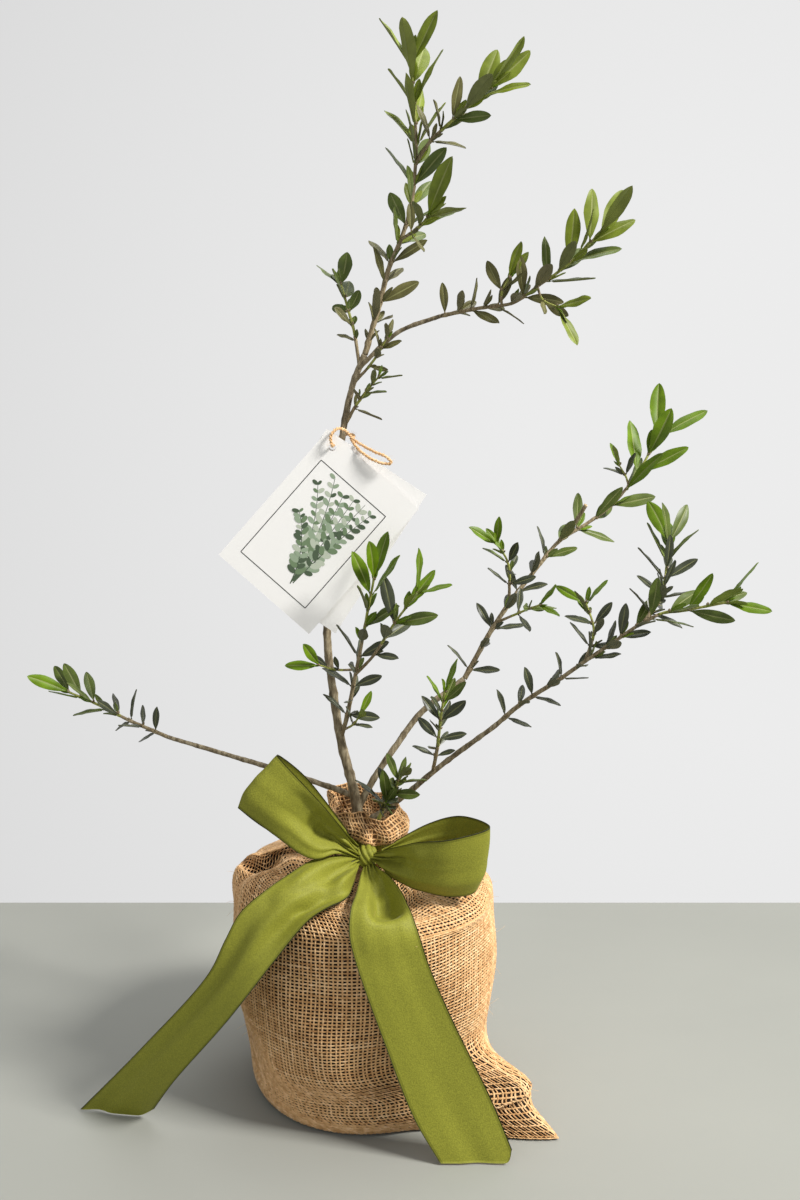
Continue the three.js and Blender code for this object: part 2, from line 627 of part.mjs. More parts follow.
// The ribbon: each piece lies between two edges, and its middle bulges to the front or the back
const RIBBON_COLUMNS = 4;
const ribbons = {
  ribbon_loop_left: {
    upper: [[-4.5, -31.5, 156], [-19.6, -54, 186], [-50.8, -62, 223.7], [-36, -44, 206], [-3.8, -26, 157]],
    lower: [[-4.5, -32, 149], [-34.4, -56, 161.5], [-74.3, -62, 191.9], [-55, -46, 171], [-3.8, -26.5, 149]],
    rows: 22,
    bulge: -3,
  },
  ribbon_loop_right: {
    upper: [[12.5, -31.5, 155], [32.2, -54, 169.2], [53, -63, 174.6], [77.5, -54, 178.4], [60.8, -34, 177.6],
      [42, -28, 171.1], [11.8, -26, 154]],
    lower: [[12.5, -32, 148], [25, -47, 145], [45, -60, 143.5], [71.6, -54, 139.5], [62, -37, 141],
      [40, -30, 144.5], [11.8, -26.5, 149]],
    rows: 24,
    bulge: 2,
  },
  ribbon_tail_left: {
    upper: [[-1.6, -28.9, 147.8], [-6, -33, 146], [-30, -60, 149], [-58, -74, 137], [-75, -79, 121],
      [-88, -74, 100], [-132, -62, 48], [-174, -45, 1.6]],
    lower: [[-0.4, -29.8, 145.9], [-6, -36, 142.5], [-28, -68, 138.5], [-46, -83, 121], [-60, -90, 98],
      [-78, -86, 75], [-110, -72, 34], [-130, -51, 1.6]],
    rows: 20,
    bulge: 1,
  },
  ribbon_tail_right: {
    upper: [[1.2, -30.4, 145.7], [-2, -36, 142.6], [-3, -66, 141.5], [-2, -84, 128], [2, -89, 104],
      [14, -90, 66], [31, -92, 24], [45.9, -95, 1.6]],
    lower: [[6.8, -30.2, 145.9], [7, -36, 142.6], [24, -62, 140.5], [33, -80.5, 127], [40, -84, 108],
      [53, -85, 78], [76, -88, 32], [87, -94, 1.6]],
    rows: 20,
    bulge: 1,
  },
};

function ribbonGeometry(ribbon) {
  const upper = makeRoute(ribbon.upper);
  const lower = makeRoute(ribbon.lower);
  const middle = (share) => pointOn(upper, share).add(pointOn(lower, share)).multiplyScalar(0.5);
  const rows = [];
  for (let i = 0; i <= ribbon.rows; i += 1) {
    const share = i / ribbon.rows;
    const [from, to] = [pointOn(upper, share), pointOn(lower, share)];
    const run = middle(share + 0.02).sub(middle(share - 0.02)).normalize();
    const out = run.cross(from.clone().sub(to)).normalize();
    const swell = ribbon.bulge * Math.sin(Math.PI * share);
    rows.push(Array.from({ length: RIBBON_COLUMNS + 1 }, (_, j) => {
      const over = j / RIBBON_COLUMNS;
      return from.clone().lerp(to, over).addScaledVector(out, swell * (1 - (2 * over - 1) ** 2));
    }));
  }
  return sheetGeometry(rows, RIBBON_THICKNESS);
}

// The ribbon's turn round the neck, with softened outer edges
const BAND = { clearance: 1.3, thickness: 1.7, width: 8, round: 0.6, segments: 36 };

function bandGeometry() {
  const inner = NECK_RADIUS + BAND.clearance;
  const outer = inner + BAND.thickness;
  const [low, high] = [NECK_HEIGHT - BAND.width / 2, NECK_HEIGHT + BAND.width / 2];
  return turnedGeometry([[inner, low], [outer, low + BAND.round], [outer, high - BAND.round], [inner, high],
    [inner, low]], BAND.segments);
}

const KNOT = { radii: [7.4, 6, 8], place: [4, -26.5, 152.5] };

function knotGeometry() {
  const knot = new THREE.SphereGeometry(1, 14, 9);
  knot.scale(...KNOT.radii);
  knot.translate(...KNOT.place);
  return knot;
}

// The care cards hang by a hole near one corner, each turned and dropped as it hangs on the twine
const CARD_HOLE = { x: 9.5, y: -7, radius: 2.4 };
const HOLE_PLACE = { x: -20.7, z: 410.1 };
const cards = {
  care_card_front: { depth: -12, drop: 0.9, turn: radians(-41.3) },
  care_card_back: { depth: -9, drop: 0, turn: radians(-33.3) },
};

function cardGeometry() {
  const [left, top] = [-CARD_HOLE.x, -CARD_HOLE.y];
  const shape = new THREE.Shape();
  shape.moveTo(left, top);
  shape.lineTo(left, top - CARD_HEIGHT);
  shape.lineTo(left + CARD_WIDTH, top - CARD_HEIGHT);
  shape.lineTo(left + CARD_WIDTH, top);
  shape.closePath();
  shape.holes.push(new THREE.Path().absarc(0, 0, CARD_HOLE.radius, 0, 2 * Math.PI, true));
  const geometry = new THREE.ExtrudeGeometry(shape, {
    depth: CARD_THICKNESS,
    bevelEnabled: false,
    curveSegments: 8,
  });
  geometry.translate(0, 0, -CARD_THICKNESS / 2);
  return geometry;
}

// The twine runs through both cards' holes, round the trunk and out to a doubled end
const TWINE_SIDES = 5;
const TWINE_STEP = 4;
const twineRuns = [
  [[-20.7, -16, 410.1], [-20.7, -10.5, 410.1], [-20.6, -4.5, 410.6], [-18.6, 1.5, 413.2], [-17.2, 6, 416.5],
    [-13, 9.1, 418], [-8.6, 7, 417.8], [-7.4, 2.6, 416.5], [-9, -0.6, 415.2]],
  [[-20.7, -15.6, 409.8], [-21.6, -15.6, 416], [-18, -13.4, 421], [-13, -6, 420.5], [-9.4, -0.4, 416.5]],
  [[-9.4, -1, 415.6], [-4, -8, 412], [6, -15.5, 406.5], [15, -17.5, 402.5], [17.4, -18, 399],
    [13, -17.5, 398.6], [4, -16, 402], [-4, -13, 408], [-9, -2, 414.6]],
];

function twineGeometry() {
  const strands = twineRuns.map((points) => toSolid(limbGeometry({
    route: makeRoute(points),
    radius: () => TWINE_RADIUS,
    sides: TWINE_SIDES,
    step: TWINE_STEP,
  })));
  return toGeometry(mainBody(joined(strands).subtract(limbCutters.trunk)));
}

// Materials
const material = (color, roughness) => new THREE.MeshStandardMaterial({ color, roughness, metalness: 0 });
const materials = {
  bark: material(0x7b6a50, 0.85),
  leaf: material(0x55722c, 0.45),
  burlap: material(0xc29a68, 0.95),
  ribbon: material(0x7d8a2a, 0.5),
  pot: material(0x232323, 0.6),
  soil: material(0x3a2a1e, 1),
  card: material(0xf2f1ee, 0.7),
  twine: material(0xb98f5c, 0.95),
};

// The whole part
const plant = new THREE.Group();

function addPart(name, geometry, look, parent = plant) {
  const mesh = new THREE.Mesh(geometry, materials[look]);
  mesh.name = name;
  parent.add(mesh);
  return mesh;
}

addPart('trunk', limbGeometry(limbs.trunk), 'bark');
for (const name of boughNames) addPart(name, boughGeometry(name), 'bark');
for (const mass of masses) addPart(mass.name, massGeometry(mass), 'leaf');
addPart('nursery_pot', potGeometry(), 'pot');
addPart('soil', soilGeometry(), 'soil');
addPart('burlap_sack', sackGeometry(), 'burlap');
addPart('ribbon_band', bandGeometry(), 'ribbon');
addPart('ribbon_knot', knotGeometry(), 'ribbon');
for (const [name, ribbon] of Object.entries(ribbons)) addPart(name, ribbonGeometry(ribbon), 'ribbon');
for (const [name, card] of Object.entries(cards)) {
  const holder = new THREE.Group();
  holder.position.set(HOLE_PLACE.x, card.depth, HOLE_PLACE.z - card.drop);
  holder.rotation.x = Math.PI / 2;
  plant.add(holder);
  addPart(name, cardGeometry(), 'card', holder).rotation.z = card.turn;
}
addPart('twine', twineGeometry(), 'twine');

export default plant;
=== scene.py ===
# The looks of a young potted olive tree: limbs with bark relief, leaves grown pair by pair, a woven
# burlap sack, a satin ribbon bow, two plain-art care cards and jute twine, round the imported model.
# Lengths in this file are millimetres in the model's frame, and become metres when a mesh is made.
import math

import bpy
import numpy as np
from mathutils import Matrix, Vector
from mathutils.kdtree import KDTree


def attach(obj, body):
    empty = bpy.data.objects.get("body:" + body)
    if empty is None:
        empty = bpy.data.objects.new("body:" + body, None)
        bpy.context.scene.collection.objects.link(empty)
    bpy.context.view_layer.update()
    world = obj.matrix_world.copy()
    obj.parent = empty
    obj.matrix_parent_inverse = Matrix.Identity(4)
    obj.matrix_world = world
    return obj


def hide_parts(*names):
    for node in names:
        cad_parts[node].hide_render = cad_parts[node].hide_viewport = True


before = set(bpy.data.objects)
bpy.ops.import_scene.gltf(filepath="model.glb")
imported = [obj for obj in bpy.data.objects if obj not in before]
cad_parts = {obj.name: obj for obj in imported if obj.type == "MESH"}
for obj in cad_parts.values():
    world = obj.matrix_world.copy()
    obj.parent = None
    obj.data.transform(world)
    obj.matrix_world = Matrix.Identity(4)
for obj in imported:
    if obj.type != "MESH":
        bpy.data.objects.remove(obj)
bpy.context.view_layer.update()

# Metres in a millimetre, then the ways to the back, up, and to the light that the leaves turn to
MM = 0.001
DEPTH = np.array([0.0, 1.0, 0.0])
UP = np.array([0.0, 0.0, 1.0])
LIGHT = np.array([0.25, -0.78, 0.57]) / np.linalg.norm([0.25, -0.78, 0.57])


# Numbers and directions
def mix(low, high, share):
    return low + (high - low) * share


def along(values, share):
    """The value at a share from 0 to 1 of the way through a row of values."""
    place = min(max(share, 0.0), 1.0) * (len(values) - 1)
    index = min(int(place), len(values) - 2)
    return mix(values[index], values[index + 1], place - index)


def smooth(low, high, value):
    share = np.clip((np.asarray(value, float) - low) / (high - low), 0.0, 1.0)
    return share * share * (3 - 2 * share)


def fade(low, high, value):
    return 1 - smooth(low, high, value)


def unit(vectors):
    vectors = np.asarray(vectors, float)
    return vectors / np.maximum(np.linalg.norm(vectors, axis=-1, keepdims=True), 1e-12)


def distances(points):
    """How far along a line of points each of them lies."""
    return np.concatenate([[0], np.cumsum(np.linalg.norm(np.diff(points, axis=0), axis=1))])


def full_turn(count):
    """Angles at even steps round a circle."""
    return 2 * math.pi * np.arange(count) / count


def seeded(seed):
    """The source's row of numbers from 0 to 1."""
    state = [seed & 0xFFFFFFFF]

    def draw():
        state[0] = (state[0] + 0x6D2B79F5) & 0xFFFFFFFF
        t = state[0]
        t = ((t ^ (t >> 15)) * (t | 1)) & 0xFFFFFFFF
        t ^= (t + (((t ^ (t >> 7)) * (t | 61)) & 0xFFFFFFFF)) & 0xFFFFFFFF
        return ((t ^ (t >> 14)) & 0xFFFFFFFF) / 4294967296

    return draw


class Route:
    """A smooth centripetal curve through points, kept as short steps."""

    STEPS_PER_SPAN = 12

    def __init__(self, points):
        points = np.array(points, float)
        padded = np.vstack([2 * points[0] - points[1], points, 2 * points[-1] - points[-2]])
        steps = []
        for i in range(len(points) - 1):
            p0, p1, p2, p3 = padded[i:i + 4]
            d0, d1, d2 = (max(np.sum((b - a) ** 2) ** 0.25, 1e-4)
                          for a, b in ((p0, p1), (p1, p2), (p2, p3)))
            t1 = ((p1 - p0) / d0 - (p2 - p0) / (d0 + d1) + (p2 - p1) / d1) * d1
            t2 = ((p2 - p1) / d1 - (p3 - p1) / (d1 + d2) + (p3 - p2) / d2) * d1
            t = np.arange(self.STEPS_PER_SPAN)[:, None] / self.STEPS_PER_SPAN
            steps.append((2 * t**3 - 3 * t**2 + 1) * p1 + (t**3 - 2 * t**2 + t) * t1
                         + (3 * t**2 - 2 * t**3) * p2 + (t**3 - t**2) * t2)
        self.steps = np.vstack([*steps, points[-1:]])
        self.distance = distances(self.steps)
        self.length = self.distance[-1]

    def at(self, share):
        target = np.clip(share, 0, 1) * self.length
        return np.stack([np.interp(target, self.distance, self.steps[:, k]) for k in range(3)], axis=-1)

    def heading(self, share):
        reach = 2 / self.length
        return unit(self.at(share + reach) - self.at(share - reach))


def across_of(heading):
    """Two directions across a heading: one in the picture plane, one towards the back."""
    side = unit(np.cross(heading, DEPTH))
    return side, unit(np.cross(side, heading))


def turned(vector, axis, angle):
    """The vector turned about a unit axis."""
    return (vector * math.cos(angle) + np.cross(axis, vector) * math.sin(angle)
            + axis * np.dot(axis, vector) * (1 - math.cos(angle)))


# Meshes
class Shape:
    """Points and faces gathered for one mesh. Each face keeps the number of its material."""

    def __init__(self):
        self.points, self.faces, self.looks, self.count = [], [], [], 0

    def add(self, points, faces, look=0):
        points = np.asarray(points, float).reshape(-1, 3)
        faces = np.asarray(faces, int)
        self.points.append(points)
        self.faces.append(faces + self.count)
        self.looks.append(np.broadcast_to(look, len(faces)))
        self.count += len(points)


def grid_faces(rows, columns, closed=False):
    """Quads of a grid of points, row by row. Closed joins the last column to the first."""
    i, j = np.meshgrid(np.arange(rows - 1), np.arange(columns if closed else columns - 1), indexing="ij")
    a, b = i * columns + j, i * columns + (j + 1) % columns
    return np.stack([a, b, b + columns, a + columns], axis=-1).reshape(-1, 4)


def fan_faces(count):
    """Triangles, folded to quads, that join a ring of points to the one point after them."""
    start = np.arange(count)
    end = (start + 1) % count
    return np.stack([start, np.full(count, count), end, end], axis=1)


def add_tube(shape, rings, look=0, caps=True):
    """A tube given as rings of points, its ends closed by fans of triangles folded to quads."""
    rows, columns = rings.shape[:2]
    points = rings.reshape(-1, 3)
    faces = grid_faces(rows, columns, closed=True)
    if caps:
        points = np.vstack([points, rings[0].mean(0), rings[-1].mean(0)])
        j = np.arange(columns)
        k = (j + 1) % columns
        top = (rows - 1) * columns
        first, last = np.full(columns, len(points) - 2), np.full(columns, len(points) - 1)
        foot, tip = np.stack([first, k, j, j], 1), np.stack([last, top + j, top + k, top + k], 1)
        faces = np.vstack([faces, foot, tip])
    shape.add(points, faces, look)


def sides_of(line):
    """Two directions across a line, at each of its points."""
    heading = unit(np.gradient(line, axis=0))
    side = unit(np.cross(heading, DEPTH + 0.05 * UP))
    return side, np.cross(side, heading)


def tube_rings(centres, radii, sides):
    """Rings round a line of centres, with a radius for each ring or for each point of a ring."""
    side, back = sides_of(centres)
    radii = np.reshape(radii, (len(centres), -1))
    angle = full_turn(sides)
    return (centres[:, None] + side[:, None] * (radii * np.cos(angle))[..., None]
            + back[:, None] * (radii * np.sin(angle))[..., None])


def make_piece(name, shape, materials, replaces, angle=None):
    """Turns a shape into a smooth mesh that rides with the model and stands in for its nodes."""
    points = np.vstack(shape.points) * MM
    faces = np.vstack(shape.faces)
    corners = np.ones(faces.shape, bool)
    corners[:, 3] = faces[:, 2] != faces[:, 3]
    starts = np.concatenate([[0], np.cumsum(corners.sum(1))[:-1]])
    mesh = bpy.data.meshes.new(name)
    mesh.vertices.add(len(points))
    mesh.vertices.foreach_set("co", points.astype(np.float32).ravel())
    mesh.loops.add(int(corners.sum()))
    mesh.loops.foreach_set("vertex_index", faces[corners].astype(np.int32))
    mesh.polygons.add(len(faces))
    mesh.polygons.foreach_set("loop_start", starts.astype(np.int32))
    mesh.polygons.foreach_set("material_index", np.concatenate(shape.looks).astype(np.int32))
    mesh.update(calc_edges=True)
    mesh.polygons.foreach_set("use_smooth", np.ones(len(faces), bool))
    if angle is not None:
        mesh.set_sharp_from_angle(angle=math.radians(angle))
    for material in materials:
        mesh.materials.append(material)
    piece = bpy.data.objects.new(name, mesh)
    bpy.context.scene.collection.objects.link(piece)
    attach(piece, "root")
    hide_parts(*replaces)


# Materials
class Look:
    """A material with one principled shader, and a few short ways to add nodes to it."""

    def __init__(self, name, color, roughness, **sockets):
        self.material = bpy.data.materials.new(name)
        self.material.use_nodes = True
        self.nodes = self.material.node_tree.nodes
        self.links = self.material.node_tree.links
        self.shader = self.nodes["Principled BSDF"]
        self.shader.inputs["Base Color"].default_value = (*color, 1)
        self.shader.inputs["Roughness"].default_value = roughness
        for socket, value in sockets.items():
            self.shader.inputs[socket.replace("_", " ")].default_value = value
        self.place = self.nodes.new("ShaderNodeTexCoord").outputs["Object"]

    def node(self, kind, **inputs):
        """Adds a node. Another node's output is linked to the input that it is given for."""
        node = self.nodes.new("ShaderNode" + kind)
        for name, value in inputs.items():
            if isinstance(value, bpy.types.NodeSocket):
                self.links.new(value, node.inputs[name])
            else:
                node.inputs[name].default_value = value
        return node

    def noise(self, scale, detail=2.0, stretch=None):
        place = self.place
        if stretch:
            place = self.node("Mapping", Scale=stretch, Vector=place).outputs["Vector"]
        return self.node("TexNoise", Scale=scale, Detail=detail, Vector=place).outputs["Fac"]

    def paint(self, fac, stops):
        """Paints plain colours by a number. Each stop is a value of it and a colour."""
        node = self.node("ValToRGB", Fac=fac)
        while len(node.color_ramp.elements) < len(stops):
            node.color_ramp.elements.new(0.5)
        for element, (position, color) in zip(node.color_ramp.elements, stops):
            element.position = position
            element.color = (*color, 1)
        self.links.new(node.outputs["Color"], self.shader.inputs["Base Color"])

    def bump(self, height, distance, strength=1.0):
        """Raises the surface by a number, up to a distance in millimetres."""
        node = self.node("Bump", Distance=distance * MM, Strength=strength, Height=height)
        self.links.new(node.outputs["Normal"], self.shader.inputs["Normal"])


def shaded(color, factor):
    """A colour made darker or lighter by a factor."""
    return tuple(part * factor for part in color)


def bark_look(name, dark, mid, pale, grain):
    """Young bark: fine grain along the limb, dark pits and pale flecks."""
    look = Look(name, mid, 0.8)
    look.paint(look.noise(grain, 6.0, (1, 1, 0.35)), [(0.3, dark), (0.48, mid), (0.68, pale)])
    look.bump(look.noise(grain * 1.6, 8.0, (1, 1, 0.4)), 0.35)
    return look.material


def leaf_look(name, color, roughness, coat, specular, tint):
    """A leaf face in one plain colour, a little lighter and darker over its length, with a fine grain."""
    look = Look(name, color, roughness, Coat_Weight=coat, Coat_Roughness=0.4, Specular_IOR_Level=specular)
    darker, lighter = shaded(color, 1 - tint), shaded(color, 1 + tint)
    look.paint(look.noise(90), [(0.32, darker), (0.5, color), (0.68, lighter)])
    look.bump(look.noise(900), 0.04, 0.5)
    return look.material


def leaf_kind(name, upper, under, roughness, specular=0.18):
    """The looks of one kind of leaf: its upper face, its underside, and the pale midrib between."""
    rib = mix(np.array(upper), np.array(RIB_PALE), 0.42)
    return [leaf_look("leaf_" + name, upper, roughness, 0.1, specular, 0.25),
            leaf_look("leaf_" + name + "_under", under, 0.64, 0.0, 0.18, 0.16),
            Look("leaf_" + name + "_rib", tuple(rib), 0.6).material]


def jute_look(name, dark, mid, pale):
    """Jute fibre: streaky tan, matt, with fine fibres in its relief."""
    look = Look(name, mid, 0.92, Sheen_Weight=0.12)
    look.paint(look.noise(260, 5.0), [(0.3, dark), (0.5, mid), (0.7, pale)])
    look.bump(look.noise(2200, 4.0), 0.15)
    return look.material


def satin_look(name, color, painted_glint):
    """Satin ribbon: soft gloss drawn out along the cloth, a very fine rib, and painted highlight: fine
    flecks painted lighter than its colour as glints of its grain.
    """
    look = Look(name, color, 0.6, Sheen_Weight=0.05, Sheen_Roughness=0.3, Anisotropic=0.3,
                Specular_IOR_Level=0.2)
    # painted highlight: fine flecks up to a factor lighter than the colour, as glints of the satin's grain
    look.paint(look.noise(1500), [(0.35, color), (0.65, shaded(color, painted_glint))])
    look.bump(look.noise(1500), 0.16, 0.8)
    return look.material


def card_looks():
    """The white card stock, and the inks of the frame and the sprig."""
    stock = Look("card_stock", (0.85, 0.84, 0.83), 0.6)
    stock.bump(stock.noise(2600, 3.0), 0.02, 0.5)
    inks = {"frame": (0.03, 0.03, 0.028), "deep": (0.06, 0.095, 0.05), "leaf": (0.14, 0.21, 0.11),
            "sage": (0.27, 0.35, 0.24), "pale": (0.45, 0.5, 0.4)}
    return [stock.material, *(Look("ink_" + name, color, 0.6).material for name, color in inks.items())]


def soil_look():
    """Crumbly dark compost."""
    look = Look("compost", (0.04, 0.025, 0.014), 1.0)
    look.paint(look.noise(300, 8.0), [(0.35, (0.015, 0.009, 0.005)), (0.65, (0.08, 0.05, 0.03))])
    look.bump(look.noise(420, 8.0), 1.5)
    return look.material


OLD_BARK = bark_look("bark_old", (0.07, 0.052, 0.026), (0.19, 0.148, 0.085), (0.35, 0.295, 0.195), 420)
TWIG_BARK = bark_look("bark_twig", (0.1, 0.072, 0.033), (0.22, 0.168, 0.09), (0.33, 0.27, 0.165), 620)
TWIG_GREEN = bark_look("bark_shoot", (0.16, 0.18, 0.035), (0.27, 0.29, 0.06), (0.37, 0.38, 0.1), 620)
CUT_WOOD = bark_look("cut_wood", (0.2, 0.13, 0.06), (0.45, 0.33, 0.18), (0.55, 0.43, 0.27), 900)

RIB_PALE = (0.32, 0.33, 0.12)
LEAF_KINDS = {
    "fresh": leaf_kind("fresh", (0.1, 0.172, 0.003), (0.17, 0.225, 0.035), 0.46),
    "olive": leaf_kind("olive", (0.15, 0.192, 0.016), (0.19, 0.22, 0.05), 0.48),
    "mid": leaf_kind("mid", (0.082, 0.115, 0.018), (0.15, 0.165, 0.06), 0.44, 0.22),
    "old": leaf_kind("old", (0.042, 0.05, 0.026), (0.12, 0.125, 0.075), 0.4, 0.4),
    "dull": leaf_kind("dull", (0.1, 0.094, 0.028), (0.155, 0.145, 0.075), 0.52, 0.25),
}

BURLAP = [jute_look("jute_pale", (0.56, 0.335, 0.15), (0.73, 0.465, 0.23), (0.86, 0.6, 0.35)),
          jute_look("jute_mid", (0.5, 0.28, 0.113), (0.66, 0.4, 0.182), (0.8, 0.53, 0.28)),
          jute_look("jute_dark", (0.43, 0.22, 0.08), (0.58, 0.33, 0.14), (0.71, 0.435, 0.2))]
# Painted shade: a near-black colour for the layer behind the weave, which shows through the gaps between
# threads as the shade inside the sack
BURLAP_SHADE = Look("jute_shade", (0.014, 0.006, 0.002), 1.0).material
# Painted shade: a dark brown copy of the jute for the layer behind the collar's inner threads, as the shade
# inside the collar
BURLAP_INNER_SHADE = Look("jute_inner_shade", (0.16, 0.085, 0.035), 1.0).material
# Each satin's last number is how much lighter its painted highlight flecks are
RIBBON = [satin_look("satin_olive", (0.178, 0.182, 0.021), 1.4),
          satin_look("satin_edge", (0.03, 0.032, 0.005), 1.2),
          satin_look("satin_selvedge", (0.13, 0.134, 0.014), 1.3)]
CARD = card_looks()
POT = Look("pot_plastic", (0.02, 0.02, 0.02), 0.55).material
SOIL = soil_look()


# Limbs: a few points on each route, and the radius from foot to tip
LIMBS = {
    "trunk": ([(-4, 0, 112.3), (-4, 0, 130), (-5.3, 0, 172), (-15.8, 0, 216), (-25, 2, 284),
               (-22.7, 4, 354.5), (-9, 6, 449), (-0.5, 7, 471)],
              (5.4, 4.0, 3.4, 3.0, 2.7, 2.6, 2.5, 2.4, 2.4, 2.3, 2.2, 2.1, 2.0)),
    "bough_top_right": ([(-4, 5.8, 462), (13, 2, 478.4), (24.4, -1, 486.7), (49.8, -8, 494.9)],
                        (1.5, 1.35)),
    "bough_right_high": ([(-4, 1, 172), (6, 3, 190), (20, 7, 210), (38.5, 12, 232.5), (66.6, 20, 252.3)],
                         (2.2, 2.0, 1.8)),
    "bough_right_low": ([(-3, -1, 160), (8, -4, 168), (25.7, -8, 181.8), (45.1, -15, 200.2),
                         (85, -28, 234)], (2.0, 1.7, 1.5)),
    "bough_left": ([(-5, 1, 178), (-25.5, 6, 184), (-68, 16, 194.4), (-111, 26, 203.8),
                    (-137, 32, 209.7)], (1.9, 1.6, 1.3)),
}
ROUTES = {name: Route(points) for name, (points, _) in LIMBS.items()}
TIP_GAP = 0.3


def tip_of(limb):
    """Where the spray at a limb's end starts, a small gap past its tip."""
    return ROUTES[limb].at(1.0) + ROUTES[limb].heading(1.0) * TIP_GAP


class Shoot:
    """A leafy shoot: its route, and what its leaves are like from its oldest pair to its youngest.

    Its leaf pairs begin at the share first. Leaf gives their lengths, opening the angles at which they
    leave it, lift how far they rise and broad how wide they are. A side shoot leaves another at a share.
    """

    def __init__(self, points, radii, first=0.0, pairs=0, leaf=(1, 1), opening=(1, 1), turn=0, lift=0.0,
                 on=None, at=0.0, broad=1.0):
        self.points, self.radii, self.first, self.pairs = points, radii, first, pairs
        self.leaf, self.opening, self.turn, self.lift = leaf, opening, turn, lift
        self.on, self.at, self.broad = on, at, broad

    def grow_from(self, root, shoots):
        start = root if self.on is None else shoots[self.on].route.at(self.at)
        self.route = Route([start, *self.points])


